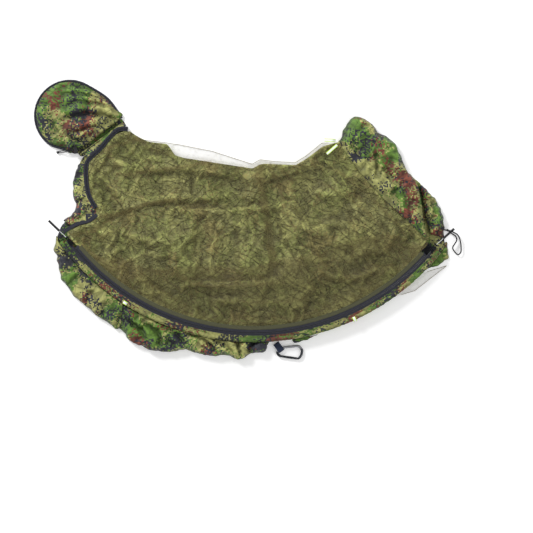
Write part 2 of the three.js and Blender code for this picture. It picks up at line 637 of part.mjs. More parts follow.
add("carabiner_body", carabinerBody(), MATERIAL.aluminium, carabinerFrame);
add("carabiner_gate", carabinerGate(), MATERIAL.aluminium, gateFrame);
add("gate_pin", barZ(PIN_RADIUS, 2 * GATE_BAR - 0.2), MATERIAL.steel, gateFrame);

// ---------------------------------------------------------------- cord loop at the foot
const FOOT_LOOP = [
  [606, 20], [618, 11.5], [632, 4], [640, -12], [643, -34], [642, -50], [634, -58], [624, -50],
  [617, -36], [623, -25], [629.5, -13], [626, 0], [617, 6], [606, 14.5],
];
const footLoop = curveThrough(FOOT_LOOP, FOOT_CORD_Z);
add("foot_cord_loop", sweep(footLoop, ringShape(FOOT_CORD_RADIUS, 6), 40), MATERIAL.blackCord);
add("foot_cord_knot", knot(4.4, [600.5, 18, FOOT_CORD_Z]), MATERIAL.blackCord);

export default sack;
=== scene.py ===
"""Looks of a camouflage bivy sack with a zipped insect net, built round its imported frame.

Metres, +Z up, the frame's own axes. Outlines and places come from the frame's nodes and joints; lengths
that only the cloth needs are written in millimetres and pass through mm().
"""

import json
import math

import bmesh
import bpy
import numpy as np
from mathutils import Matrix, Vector
from mathutils.geometry import delaunay_2d_cdt


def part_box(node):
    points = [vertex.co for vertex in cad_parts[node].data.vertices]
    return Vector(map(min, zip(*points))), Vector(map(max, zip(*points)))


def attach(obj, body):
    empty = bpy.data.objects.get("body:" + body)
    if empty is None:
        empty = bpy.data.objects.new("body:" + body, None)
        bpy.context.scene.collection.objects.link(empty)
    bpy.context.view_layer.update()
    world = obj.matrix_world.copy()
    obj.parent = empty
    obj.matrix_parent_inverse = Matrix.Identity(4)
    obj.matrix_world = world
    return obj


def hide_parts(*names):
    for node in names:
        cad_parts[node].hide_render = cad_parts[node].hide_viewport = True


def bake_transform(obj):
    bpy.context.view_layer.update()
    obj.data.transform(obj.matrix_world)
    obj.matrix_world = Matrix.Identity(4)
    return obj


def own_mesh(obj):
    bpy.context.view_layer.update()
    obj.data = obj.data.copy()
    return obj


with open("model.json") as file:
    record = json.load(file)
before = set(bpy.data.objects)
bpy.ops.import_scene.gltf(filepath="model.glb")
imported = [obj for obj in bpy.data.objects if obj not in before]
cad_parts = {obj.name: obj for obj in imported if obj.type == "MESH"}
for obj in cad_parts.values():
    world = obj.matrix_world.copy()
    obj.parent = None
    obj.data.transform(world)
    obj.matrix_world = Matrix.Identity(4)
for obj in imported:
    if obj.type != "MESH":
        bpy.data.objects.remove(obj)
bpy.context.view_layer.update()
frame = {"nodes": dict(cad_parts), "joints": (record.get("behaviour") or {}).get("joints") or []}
JOINTS = {joint["name"]: joint for joint in frame["joints"]}
MM = 0.001


def mm(values):
    return np.array(values, float) * MM


# ---------------------------------------------------------------- places read from the frame
def joint_place(name):
    return np.array(JOINTS[name]["pos_m"], float)


ARC_CENTRE = joint_place("slider_left_travel")[:2]
FOLD_Y = joint_place("net_door_fold")[1]
ZIP_Z = joint_place("net_door_fold")[2]
ZIP_RADIUS = float(np.hypot(*(joint_place("pull_left_flip")[:2] - ARC_CENTRE)))
SLEEVE_LOW, SLEEVE_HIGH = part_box("hoop_sleeve")
SLEEVE_RADIUS = (SLEEVE_HIGH.z - SLEEVE_LOW.z) / 2
SLEEVE_LINE = ARC_CENTRE[1] - SLEEVE_LOW.y - SLEEVE_RADIUS
GROUND_GAP = 0.0004
SHEET_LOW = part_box("inner_lining")[0].z


def weld(node):
    """A CAD node's welded corner points and its faces."""
    mesh = frame["nodes"][node].data
    co = np.array([v.co for v in mesh.vertices])
    _, first, back = np.unique(np.round(co, 6), axis=0, return_index=True, return_inverse=True)
    back = back.reshape(-1)
    faces = [[int(back[i]) for i in face.vertices] for face in mesh.polygons]
    return co[first], faces


def outline_of(node):
    """The plan outline of a flat CAD layer, anticlockwise, in metres."""
    points, faces = weld(node)
    low = points[:, 2].min()
    bottom = [f for f in faces if all(points[i][2] < low + 1e-5 for i in f)]
    edges = {(a, b) for f in bottom for a, b in zip(f, f[1:] + f[:1])}
    following = {a: b for a, b in edges if (b, a) not in edges}
    start = next(iter(sorted(following)))
    loop = [start]
    while following[loop[-1]] != start:
        loop.append(following[loop[-1]])
    outline = points[loop][:, :2]
    return outline if signed_area(outline) > 0 else outline[::-1]


def signed_area(loop):
    x, y = loop[:, 0], loop[:, 1]
    return float(np.sum(x * np.roll(y, -1) - np.roll(x, -1) * y)) / 2


def arc_point(radius, degrees):
    """A point at an angle from straight down about the hoop's centre."""
    a = np.radians(degrees)
    return np.stack([ARC_CENTRE[0] + radius * np.sin(a), ARC_CENTRE[1] - radius * np.cos(a)], -1)


def arc_path(radius, start, end, z, step=1.0):
    angles = np.linspace(start, end, max(2, int(abs(end - start) / step) + 1))
    plan = arc_point(radius, angles)
    return np.column_stack([plan, np.full(len(plan), z)])


def bearing(points):
    """Each point's angle from straight down about the hoop's centre, in radians."""
    return np.arctan2(points[:, 0] - ARC_CENTRE[0], ARC_CENTRE[1] - points[:, 1])


def radius_of(points):
    """Each point's distance from the hoop's centre, seen from above."""
    return np.hypot(points[:, 0] - ARC_CENTRE[0], points[:, 1] - ARC_CENTRE[1])


def arc_ends(node):
    """The angles between which a node's points lie about the hoop's centre, in degrees."""
    points, _ = weld(node)
    angles = np.degrees(bearing(points))
    return float(angles.min()), float(angles.max())


# ---------------------------------------------------------------- curves and distances
def smooth(points, closed=False, per_span=8):
    """A Catmull-Rom curve through points."""
    p = np.array(points, float)
    if closed:
        p = np.vstack([p[-1], p, p[0], p[1]])
    else:
        p = np.vstack([2 * p[0] - p[1], p, 2 * p[-1] - p[-2]])
    t = np.linspace(0, 1, per_span, endpoint=False)[:, None]
    spans = []
    for a, b, c, d in zip(p, p[1:], p[2:], p[3:]):
        spans.append(0.5 * (2 * b + (c - a) * t + (2 * a - 5 * b + 4 * c - d) * t**2
                            + (3 * b - a - 3 * c + d) * t**3))
    if not closed:
        spans.append(p[-2][None, :])
    return np.vstack(spans)


def lengths_along(path):
    return np.concatenate([[0], np.cumsum(np.linalg.norm(np.diff(path, axis=0), axis=1))])


def looped(path):
    """A closed path with its first point repeated at its end."""
    return np.vstack([path, path[:1]])


def resample(path, spacing, closed=False):
    """Evenly spaced points on a path; a closed path doesn't repeat its first point."""
    p = looped(path) if closed else np.array(path, float)
    s = lengths_along(p)
    count = max(3 if closed else 1, int(round(s[-1] / spacing)))
    at = np.linspace(0, s[-1], count + 1)
    out = np.column_stack([np.interp(at, s, p[:, k]) for k in range(p.shape[1])])
    return out[:-1] if closed else out


def line_distance(points, line, closed=False):
    """From each point, the distance to a line of many corners, and how far along the line that is."""
    ends = looped(line) if closed else np.array(line, float)
    a, b = ends[:-1], ends[1:]
    along = lengths_along(ends)
    best = np.full(len(points), 1e9)
    place = np.zeros(len(points))
    for start, end, s in zip(a, b, along):
        d = end - start
        length = max(float(d @ d), 1e-12)
        t = np.clip(((points - start) @ d) / length, 0, 1)
        gap = np.linalg.norm(points - start - t[:, None] * d, axis=1)
        nearer = gap < best
        best = np.where(nearer, gap, best)
        place = np.where(nearer, s + t * math.sqrt(length), place)
    return best, place


def inside(points, loop):
    """True for each point inside a closed loop."""
    hit = np.zeros(len(points), bool)
    for (x0, y0), (x1, y1) in zip(loop, np.roll(loop, -1, axis=0)):
        if y0 == y1:
            continue
        crosses = (points[:, 1] < y0) != (points[:, 1] < y1)
        x = x0 + (points[:, 1] - y0) * (x1 - x0) / (y1 - y0)
        hit ^= crosses & (points[:, 0] < x)
    return hit


def waves(points, wavelength, seed, direction=0, spread=math.pi):
    """Smooth noise between about -1 and 1, made of waves whose headings lie within spread of a direction."""
    count = 18
    draw = np.random.RandomState(seed)
    heading = direction + draw.uniform(-spread, spread, count)
    size = 2 * math.pi / (wavelength * draw.uniform(0.65, 1.5, count))
    phase = draw.uniform(0, 2 * math.pi, count)
    total = np.zeros(len(points))
    for h, k, f in zip(heading, size, phase):
        total += np.sin(k * (points[:, 0] * math.cos(h) + points[:, 1] * math.sin(h)) + f)
    return total / math.sqrt(count)


def creases(points, wavelength, seed, **options):
    """Sharp ridges, 0 to 1, where the smooth noise crosses zero."""
    return np.exp(-2.2 * np.abs(waves(points, wavelength, seed, **options)))


def folds_height(points, folds):
    """The height that a list of folds adds: each is (points in mm, half width in mm, height in mm)."""
    total = np.zeros(len(points))
    for line, half_width, height in folds:
        path = smooth(mm(line)) if len(line) > 2 else mm(line)
        gap, along = line_distance(points, path)
        length = lengths_along(path)[-1]
        fade = np.clip(np.minimum(along, length - along) / (0.25 * length) + 0.15, 0, 1)
        total += height * MM * fade * np.exp(-((gap / (half_width * MM)) ** 2))
    return total


def make(name, points, faces, material, body, fabric=None, loop_fabric=None):
    """A smooth-shaded mesh piece that rides on a body, and replaces the CAD node of the same name, if any.

    fabric gives each point its place on the flat cloth; loop_fabric does so for each corner of each face.
    """
    mesh = bpy.data.meshes.new(name)
    mesh.from_pydata([tuple(map(float, p)) for p in points], [], [tuple(map(int, f)) for f in faces])
    mesh.update()
    if fabric is not None or loop_fabric is not None:
        layer = mesh.uv_layers.new(name="fabric")
        if loop_fabric is None:
            corners = np.zeros(len(mesh.loops), np.int32)
            mesh.loops.foreach_get("vertex_index", corners)
            loop_fabric = np.array(fabric)[corners]
        layer.data.foreach_set("uv", np.array(loop_fabric, np.float32).ravel())
    mesh.polygons.foreach_set("use_smooth", [True] * len(mesh.polygons))
    mesh.materials.append(material)
    piece = bpy.data.objects.new(name, mesh)
    bpy.context.scene.collection.objects.link(piece)
    if body:
        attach(piece, body)
    if name in frame["nodes"]:
        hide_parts(name)
    finish = material.name.split(".")[0]
    return piece


def coordinates(piece):
    co = np.zeros(len(piece.data.vertices) * 3)
    piece.data.vertices.foreach_get("co", co)
    return co.reshape(-1, 3)


def set_coordinates(piece, co):
    piece.data.vertices.foreach_set("co", np.ascontiguousarray(co, np.float32).ravel())
    piece.data.update()


def subdivide(piece):
    """One subdivision, kept in the mesh."""
    step = piece.modifiers.new("subdivision", "SUBSURF")
    step.levels = 1
    step.render_levels = 1
    step.use_limit_surface = False
    graph = bpy.context.evaluated_depsgraph_get()
    piece.data = bpy.data.meshes.new_from_object(piece.evaluated_get(graph))
    piece.modifiers.clear()


class Sheet:
    """A flat cloth cut to an outline: evenly spread points, triangles, and which points are on the rim."""

    def __init__(self, outline, spacing, seed, shape=None):
        rim = resample(outline, spacing, closed=True)
        if shape:
            rim = shape(rim)
        low, high = rim.min(0), rim.max(0)
        rows = np.arange(low[1], high[1], spacing * 0.866)
        grid = []
        for k, y in enumerate(rows):
            x = np.arange(low[0] + (k % 2) * spacing / 2, high[0], spacing)
            grid.append(np.column_stack([x, np.full(len(x), y)]))
        grid = np.vstack(grid)
        grid += np.random.RandomState(seed).uniform(-0.16, 0.16, grid.shape) * spacing
        grid = grid[inside(grid, rim)]
        grid = grid[line_distance(grid, rim, closed=True)[0] > 0.6 * spacing]
        plan = np.vstack([rim, grid])
        count = len(rim)
        edges = [(i, (i + 1) % count) for i in range(count)]
        found = delaunay_2d_cdt([Vector(p) for p in plan], edges, [], 1, 1e-7)
        self.plan = np.array([tuple(p) for p in found[0]])
        self.faces = [tuple(f) for f in found[2]]
        self.rim = rim
        on_rim = {new for new, old in enumerate(found[3]) if any(i < count for i in old)}
        self.on_rim = np.array([i in on_rim for i in range(len(self.plan))])
        self.edge_distance = line_distance(self.plan, rim, closed=True)[0]


def crumple(piece, pinned, growth, steps=12, cap=8.0):
    """The cloth buckles because it is larger than its place by growth; no point moves more than cap mm."""
    rest = coordinates(piece)
    group = piece.vertex_groups.new(name="pinned")
    group.add([int(i) for i in np.nonzero(pinned)[0]], 1.0, "REPLACE")
    cloth = piece.modifiers.new("cloth", "CLOTH")
    settings = cloth.settings
    settings.quality = 5
    settings.mass = 0.12
    settings.tension_stiffness = 15
    settings.compression_stiffness = 15
    settings.shear_stiffness = 5
    settings.bending_stiffness = 0.02
    settings.shrink_min = -growth
    settings.vertex_group_mass = "pinned"
    settings.effector_weights.gravity = 0
    cloth.point_cache.frame_start = 1
    cloth.point_cache.frame_end = steps
    for step in range(1, steps + 1):
        bpy.context.scene.frame_set(step)
    graph = bpy.context.evaluated_depsgraph_get()
    result = np.zeros(len(rest) * 3)
    piece.evaluated_get(graph).data.vertices.foreach_get("co", result)
    piece.modifiers.clear()
    piece.vertex_groups.clear()
    bpy.context.scene.frame_set(1)
    move = result.reshape(-1, 3) - rest
    size = np.linalg.norm(move, axis=1)
    size = np.maximum(size, 1e-9)
    move *= (np.minimum(size, cap * MM) / size)[:, None]
    set_coordinates(piece, rest + move)


def keep_between(piece, low, high):
    """Softly holds a piece's heights between two limits."""
    co = coordinates(piece)
    middle, half = (low + high) / 2, (high - low) / 2
    away = (co[:, 2] - middle) / half
    co[:, 2] = middle + half * np.where(np.abs(away) < 0.8, away, np.sign(away) * (1 - 0.2 * np.exp(
        -(np.abs(away) - 0.8) / 0.2)))
    set_coordinates(piece, co)


def close_down(piece, low):
    """Runs a sheet's rim straight down to a height and closes the underside, so that it is a closed body."""
    build = bmesh.new()
    build.from_mesh(piece.data)
    rim = [e for e in build.edges if e.is_boundary]
    wall = bmesh.ops.extrude_edge_only(build, edges=rim)
    added = [g for g in wall["geom"] if isinstance(g, bmesh.types.BMFace)]
    for v in (g for g in wall["geom"] if isinstance(g, bmesh.types.BMVert)):
        v.co.z = min(low, v.co.z - 0.0003)
    floor_edges = [e for e in build.edges if e.is_boundary]
    filled = bmesh.ops.triangle_fill(build, edges=floor_edges, use_dissolve=False)
    added += [g for g in filled["geom"] if isinstance(g, bmesh.types.BMFace)]
    fabric = build.loops.layers.uv.active
    for corner in (c for face in added for c in face.loops):
        x, y, z = corner.vert.co
        corner[fabric].uv = (x + 0.7 * z, y - 0.7 * z)
    bmesh.ops.recalc_face_normals(build, faces=build.faces)
    build.to_mesh(piece.data)
    build.free()
    piece.data.polygons.foreach_set("use_smooth", [True] * len(piece.data.polygons))


def spread_mean(grid, rounds):
    """A square grid softened by taking each cell's neighbourhood mean, several times."""
    for _ in range(rounds):
        padded = np.pad(grid, 1, mode="edge")
        rows = padded[:-2] + padded[1:-1] + padded[2:]
        grid = (rows[:, :-2] + rows[:, 1:-1] + rows[:, 2:]) / 9
    return grid


def sample_grid(grid, at):
    """A square grid's value at places given in cells, blended between cell middles."""
    at = np.clip(at - 0.5, 0, np.array(grid.shape) - 1.001)
    i, f = at.astype(int), at - at.astype(int)
    a, b = grid[i[:, 0], i[:, 1]], grid[i[:, 0] + 1, i[:, 1]]
    c, d = grid[i[:, 0], i[:, 1] + 1], grid[i[:, 0] + 1, i[:, 1] + 1]
    return (a * (1 - f[:, 0]) + b * f[:, 0]) * (1 - f[:, 1]) + (c * (1 - f[:, 0]) + d * f[:, 0]) * f[:, 1]


def set_attribute(piece, name, values):
    """Gives each point of a piece a number that its material can read."""
    attribute = piece.data.attributes.new(name, "FLOAT", "POINT")
    attribute.data.foreach_set("value", values.astype(np.float32))


def mark_relief(piece, full=3.0):
    """Point attribute "relief": -1 deep in a crease, 1 on a crest, against the heights around it. The cloth
    and net materials read it to paint shade into creases and a highlight onto crests.
    """
    co = coordinates(piece)
    relief = np.zeros(len(co))
    for cell, rounds, share in ((4.0, 5, 0.75), (9.0, 8, 0.38)):
        low = co[:, :2].min(0) - cell * MM
        place = (co[:, :2] - low) / (cell * MM)
        at = place.astype(int)
        total = np.zeros(at.max(0) + 2)
        count = np.zeros_like(total)
        np.add.at(total, (at[:, 0], at[:, 1]), co[:, 2])
        np.add.at(count, (at[:, 0], at[:, 1]), 1)
        mean = spread_mean(total, rounds) / np.maximum(spread_mean(count, rounds), 1e-6)
        near = co[:, 2] - sample_grid(mean, place)
        relief += share * np.clip(near / (full * (cell / 4) ** 0.6 * MM), -1.3, 1.3)
    set_attribute(piece, "relief", np.clip(relief, -1, 1))


def section(radius, sides):
    a = np.linspace(0, 2 * math.pi, sides, endpoint=False)
    return np.column_stack([np.cos(a), np.sin(a)]) * radius


def headings(path, closed=False):
    """The direction in which a path runs at each of its points."""
    ahead = np.roll(path, -1, axis=0) - np.roll(path, 1, axis=0) if closed else np.gradient(path, axis=0)
    return ahead / np.linalg.norm(ahead, axis=1)[:, None]


def frames_along(path):
    """Two directions across a path at each point: sideways, and as near to up as it can be."""
    ahead = headings(path)
    side = np.cross(ahead, (0.0, 0.0, 1.0))
    side /= np.maximum(np.linalg.norm(side, axis=1), 1e-9)[:, None]
    return side, np.cross(side, ahead)


def turning_frames(path, closed=False):
    """Like frames_along, for a path that also runs straight up: the frame turns as little as it can."""
    ahead = headings(path, closed)
    side = np.cross(ahead[0], (0, 0, 1) if abs(ahead[0][2]) < 0.9 else (1, 0, 0))
    sides = []
    for direction in ahead:
        side = side - direction * (side @ direction)
        side /= np.linalg.norm(side)
        sides.append(side)
    sides = np.array(sides)
    return sides, np.cross(sides, ahead)


def sweep(path, profile, closed=False, scale=None, level=False, frames=None):
    """A profile carried along a path, kept upright if it is level.

    Returns points, faces and each face corner's place on the cloth.
    """
    p = np.array(path, float)
    if level:
        frames = frames_along(p)
    side, up = frames or turning_frames(p, closed)
    grow = np.ones(len(p)) if scale is None else np.array(scale, float)
    profile = np.array(profile, float)
    n, m = len(p), len(profile)
    points = (p[:, None, :] + grow[:, None, None] * (profile[None, :, :1] * side[:, None, :]
              + profile[None, :, 1:] * up[:, None, :])).reshape(-1, 3)
    along = lengths_along(looped(p) if closed else p)
    around = lengths_along(looped(profile))
    faces, fabric = [], []
    for i in range(n if closed else n - 1):
        k = (i + 1) % n
        for j in range(m):
            h = (j + 1) % m
            faces.append((i * m + j, i * m + h, k * m + h, k * m + j))
            u0, u1, v0, v1 = along[i], along[i + 1], around[j], around[j + 1]
            fabric += [(u0, v0), (u0, v1), (u1, v1), (u1, v0)]
    if not closed:
        faces.append(tuple(range(m))[::-1])
        fabric += [(along[0], v) for v in around[:-1]][::-1]
        faces.append(tuple((n - 1) * m + j for j in range(m)))
        fabric += [(along[-1], v) for v in around[:-1]]
    return points, faces, fabric


def joined(parts):
    """Several (points, faces, fabric) as one."""
    points, faces, fabric, base = [], [], [], 0
    for p, f, uv in parts:
        points.append(p)
        faces += [tuple(i + base for i in face) for face in f]
        fabric += list(uv)
        base += len(p)
    return np.vstack(points), faces, fabric


def make_joined(name, parts, material, body):
    """One piece out of several swept parts."""
    points, faces, fabric = joined(parts)
    return make(name, points, faces, material, body, loop_fabric=fabric)


def swept(name, path, profile, material, body, **options):
    return make_joined(name, [sweep(path, profile, **options)], material, body)


# ---------------------------------------------------------------- material building
def srgb(red, green, blue):
    """A display colour, 0 to 255, as linear RGBA."""
    def linear(c):
        c /= 255
        return c / 12.92 if c <= 0.04045 else ((c + 0.055) / 1.055) ** 2.4
    return (linear(red), linear(green), linear(blue), 1)


class Shader:
    """One material's nodes. Each method adds a node and gives back its output."""

    def __init__(self, name):
        self.material = bpy.data.materials.new(name)
        self.material.use_nodes = True
        self.tree = self.material.node_tree
        self.tree.nodes.clear()

    def add(self, kind, inputs, output=0, **settings):
        node = self.tree.nodes.new(kind)
        for key, value in settings.items():
            setattr(node, key, value)
        for key, value in inputs.items():
            if isinstance(value, bpy.types.NodeSocket):
                self.tree.links.new(value, node.inputs[key])
            else:
                node.inputs[key].default_value = value
        return node.outputs[output]

    def math(self, operation, *values):
        return self.add("ShaderNodeMath", dict(enumerate(values)), operation=operation)

    def vector(self, operation, *values):
        return self.add("ShaderNodeVectorMath", dict(enumerate(values)), operation=operation)

    def mix(self, share, a, b):
        return self.add("ShaderNodeMix", {0: share, 6: a, 7: b}, 2, data_type="RGBA")

    def noise(self, at, scale, detail=2.0, rough=0.5, distortion=0.0):
        inputs = {"Vector": at, "Scale": scale, "Detail": detail, "Roughness": rough}
        inputs["Distortion"] = distortion
        return self.add("ShaderNodeTexNoise", inputs)

    def speck(self, at):
        return self.add("ShaderNodeTexWhiteNoise", {"Vector": at})

    def ramp(self, value, low, high, to_low=0.0, to_high=1.0):
        inputs = {0: value, 1: low, 2: high, 3: to_low, 4: to_high}
        return self.add("ShaderNodeMapRange", inputs)

    def bump(self, height, distance, normal=None):
        inputs = {"Height": height, "Distance": distance}
        if normal is not None:
            inputs["Normal"] = normal
        return self.add("ShaderNodeBump", inputs)

    def fabric(self):
        return self.add("ShaderNodeUVMap", {}, uv_map="fabric")

    def place(self):
        return self.add("ShaderNodeTexCoord", {}, "Object")

    def split(self, at):
        node = self.tree.nodes.new("ShaderNodeSeparateXYZ")
        self.tree.links.new(at, node.inputs[0])
        return node.outputs

    def turned(self, at, degrees, stretch):
        """The place turned in its plane, and squeezed across, so that a pattern on it runs along the turn."""
        x, y, _ = self.split(at)
        c, d = math.cos(math.radians(degrees)), math.sin(math.radians(degrees))
        along = self.math("ADD", self.math("MULTIPLY", x, c), self.math("MULTIPLY", y, d))
        across = self.math("SUBTRACT", self.math("MULTIPLY", y, c), self.math("MULTIPLY", x, d))
        return self.add("ShaderNodeCombineXYZ", {0: along, 1: self.math("MULTIPLY", across, stretch)})

    def threads(self, at, pitch):
        """Height of a plain weave with the given pitch: over and under threads both ways."""
        x, y, _ = self.split(self.vector("MULTIPLY", at, (math.pi / pitch,) * 3))
        across = self.math("ABSOLUTE", self.math("SINE", x))
        down = self.math("ABSOLUTE", self.math("SINE", y))
        return self.math("MULTIPLY", across, down)

    def ribs(self, at, pitch, axis=0):
        value = self.split(self.vector("MULTIPLY", at, (2 * math.pi / pitch,) * 3))[axis]
        return self.math("SINE", value)

    def attribute(self, name):
        return self.add("ShaderNodeAttribute", {}, "Fac", attribute_name=name)

    def surface(self, colour, roughness, normal=None, metallic=0.0, sheen=0.0, specular=0.5):
        inputs = {
            "Base Color": colour, "Roughness": roughness, "Metallic": metallic,
            "Sheen Weight": sheen, "Sheen Roughness": 0.4, "Specular IOR Level": specular,
        }
        if normal is not None:
            inputs["Normal"] = normal
        return self.add("ShaderNodeBsdfPrincipled", inputs)

    def finish(self, shader):
        out = self.tree.nodes.new("ShaderNodeOutputMaterial")
        self.tree.links.new(shader, out.inputs["Surface"])
        return self.material


KHAKI, GREEN = srgb(154, 154, 92), srgb(89, 120, 46)
BROWN, NAVY = srgb(118, 64, 48), srgb(42, 43, 52)
CAMO_CELL = 4 * MM  # side of one printed square
RIPSTOP = 5 * MM  # pitch of the shell's thicker threads


def camouflage(s, cloth):
    """Printed squares in four colours: patches whose edges break up into single squares."""
    cell = s.vector("FLOOR", s.vector("MULTIPLY", cloth, (1 / CAMO_CELL,) * 3))
    clump = s.vector("FLOOR", s.vector("MULTIPLY", cell, (0.5,) * 3))

    def patches(seed, size, threshold, scatter):
        shift = (seed * 37.0, seed * 91.0, seed * 13.0)
        whole = s.noise(s.vector("ADD", cell, shift), CAMO_CELL / (size * MM), detail=1.2)
        single = s.math("MULTIPLY", s.math("SUBTRACT", s.speck(s.vector("ADD", cell, shift)), 0.5), scatter)
        pairs = s.math("MULTIPLY", s.math("SUBTRACT", s.speck(s.vector("ADD", clump, shift)), 0.5), scatter)
        edge = s.math("ADD", single, s.math("MULTIPLY", pairs, 0.6))
        return s.math("GREATER_THAN", s.math("ADD", whole, edge), threshold)

    colour = s.mix(patches(1, 105, 0.50, 0.10), KHAKI, GREEN)
    colour = s.mix(patches(2, 95, 0.60, 0.16), colour, BROWN)
    return s.mix(patches(5, 88, 0.575, 0.20), colour, NAVY)


CREASES = [  # heading in degrees, squeeze across, size in mm, line width, bump depth share, and darkness share: how much painted shade darkens the crease line
    (-25, 3.0, 92, 0.052, 1.0, 1.0), (40, 2.6, 70, 0.055, 0.8, 0.85), (-68, 2.3, 42, 0.060, 0.5, 0.7),
    (12, 2.6, 30, 0.070, 0.4, 0.55),
]


def crumpled(s, cloth, depth, darkness, scale=1.0):
    """Creases of thin polyester over the modelled ones: the bumped normal, and a shading factor that darkens
    crease lines and modelled creases with painted shade and lightens crests with a painted highlight.
    """
    normal, shade = None, None
    for k, (heading, squeeze, size, width, deep, dark) in enumerate(CREASES):
        at = s.turned(s.vector("ADD", cloth, (0.31 * k, 0.17 * k, 0.0)), heading, squeeze)
        warped = s.noise(at, 1 / (size * scale * MM), detail=1.1, rough=0.45, distortion=0.35)
        away = s.math("ABSOLUTE", s.math("SUBTRACT", warped, 0.5))
        line = s.ramp(away, 0.0, width)
        facet = s.ramp(warped, 0.3, 0.7, 0.0, 0.8)
        normal = s.bump(s.math("ADD", line, facet), depth * deep * MM, normal)
        # painted shade: each crease line is darkened as if it lay in shadow
        lit = s.ramp(s.math("POWER", line, 0.8), 0.0, 1.0, 1.0 - darkness * dark, 1.05)
        shade = lit if shade is None else s.math("MULTIPLY", shade, lit)
    # painted shade deep in the modelled creases and a painted highlight on their crests, from the relief
    # attribute
    relief = s.attribute("relief")
    shade = s.math("MULTIPLY", shade, s.ramp(relief, -1.0, 1.0, 0.56, 1.35))
    return s.bump(s.threads(cloth, 0.9 * MM), 0.05 * MM, normal), shade


def shaded(s, colour, *shades):
    for shade in shades:
        colour = s.vector("MULTIPLY", colour, s.vector("MULTIPLY", shade, (1, 1, 1)))
    return colour


def shell_material():
    s = Shader("camouflage_shell")
    cloth = s.fabric()
    colour = camouflage(s, cloth)
    along, across = (s.ramp(s.ribs(cloth, RIPSTOP, axis), 0.97, 1) for axis in (0, 1))
    grid = s.math("MAXIMUM", along, across)
    colour = s.mix(s.math("MULTIPLY", grid, 0.18), colour, srgb(60, 66, 44))
    # the second result is painted shade along creases and a painted highlight on crests
    normal, crease_shade = crumpled(s, cloth, 0.9, 0.38, 1.2)
    faded = s.ramp(s.noise(cloth, 45, detail=4), 0.25, 0.75, 0.81, 1.00)
    rough = s.ramp(s.noise(cloth, 120), 0.3, 0.7, 0.55, 0.75)
    return s.finish(s.surface(shaded(s, colour, faded, crease_shade), rough, normal, sheen=0.1, specular=0.4))


def lining_material():
    """The reverse of the print: the same squares, pale and olive, on crumpled cloth."""
    s = Shader("lining")
    cloth = s.fabric()
    base = s.mix(s.noise(cloth, 9, detail=3), srgb(144, 145, 84), srgb(168, 168, 106))
    colour = s.mix(0.28, base, camouflage(s, cloth))
    # the second result is painted shade along creases and a painted highlight on crests
    normal, crease_shade = crumpled(s, cloth, 3.2, 0.38)
    faded = s.ramp(s.noise(cloth, 30, detail=5), 0.25, 0.75, 0.86, 1.14)
    return s.finish(s.surface(shaded(s, colour, faded, crease_shade), 0.6, normal, sheen=0.1, specular=0.4))


NET_COLOUR = srgb(91, 80, 45)
NET_PITCH = 1.6 * MM


def net_material():
    """Sheer olive mesh. "layers" counts the layers of net over the first, and "hang" darkens hanging net with
    painted shade; "relief" gives painted shade in its creases and a painted highlight on its crests.
    """
    s = Shader("insect_net")
    cloth = s.fabric()
    x, y, _ = s.split(s.vector("MULTIPLY", cloth, (math.pi / NET_PITCH,) * 3))
    holes = s.math("MULTIPLY", s.math("ABSOLUTE", s.math("SINE", x)), s.math("ABSOLUTE", s.math("SINE", y)))
    open_share = s.ramp(holes, 0.0, 0.55, 0.66, 0.92)
    layers = s.attribute("layers")
    slant = s.add("ShaderNodeLayerWeight", {"Blend": 0.5}, "Facing")
    count = s.math("ADD", s.math("ADD", layers, 1.0), s.math("MULTIPLY", slant, 1.6))
    clear = s.math("POWER", open_share, s.math("MAXIMUM", count, 0.05))
    tint = s.mix(s.noise(cloth, 25, detail=4), NET_COLOUR, srgb(115, 103, 61))
    # painted shade in creases and painted highlight on crests from relief, and painted shade on the hanging
    # net from hang
    relief = s.attribute("relief")
    hang = s.attribute("hang")
    tint = shaded(s, tint, s.ramp(relief, -1.0, 1.0, 0.68, 1.28), s.ramp(hang, 0.0, 1.0, 1.0, 0.66))
    yarn = s.surface(tint, 0.65, s.bump(s.noise(cloth, 30, detail=5), 1.2 * MM), sheen=0.15, specular=0.3)
    see_through = s.add("ShaderNodeBsdfTransparent", {})
    return s.finish(s.add("ShaderNodeMixShader", {0: clear, 1: yarn, 2: see_through}))


def woven_material(name, colour, pitch, wear=None):
    """A narrow fabric: ribs along it, a fine weave, and lighter worn yarn here and there."""
    s = Shader(name)
    cloth = s.fabric()
    worn = s.ramp(s.noise(cloth, 260, detail=4), 0.55, 0.75)
    shade = s.mix(s.math("MULTIPLY", worn, 0.35), colour, wear or tuple(min(1, c * 2.2) for c in colour))
    ribs = s.bump(s.ribs(cloth, pitch, 1), 0.12 * MM)
    woven = s.bump(s.threads(cloth, pitch * 0.6), 0.10 * MM, ribs)
    return s.finish(s.surface(shade, 0.82, woven, sheen=0.15, specular=0.3))


def braid_material(name, colour, fleck, pitch=1.2):
    """A braided cord: strands cross at a slant, with flecks of a second yarn."""
    s = Shader(name)
    u, v, _ = s.split(s.fabric())
    left = s.math("SINE", s.math("MULTIPLY", s.math("ADD", u, v), 2 * math.pi / (pitch * MM)))
    right = s.math("SINE", s.math("MULTIPLY", s.math("SUBTRACT", u, v), 2 * math.pi / (pitch * MM)))
    strands = s.math("MAXIMUM", left, right)
    marks = s.ramp(s.math("MULTIPLY", left, right), 0.35, 0.6)
    shade = s.mix(s.math("MULTIPLY", marks, 0.5), colour, fleck)
    return s.finish(s.surface(shade, 0.75, s.bump(strands, 0.12 * MM), sheen=0.2, specular=0.3))


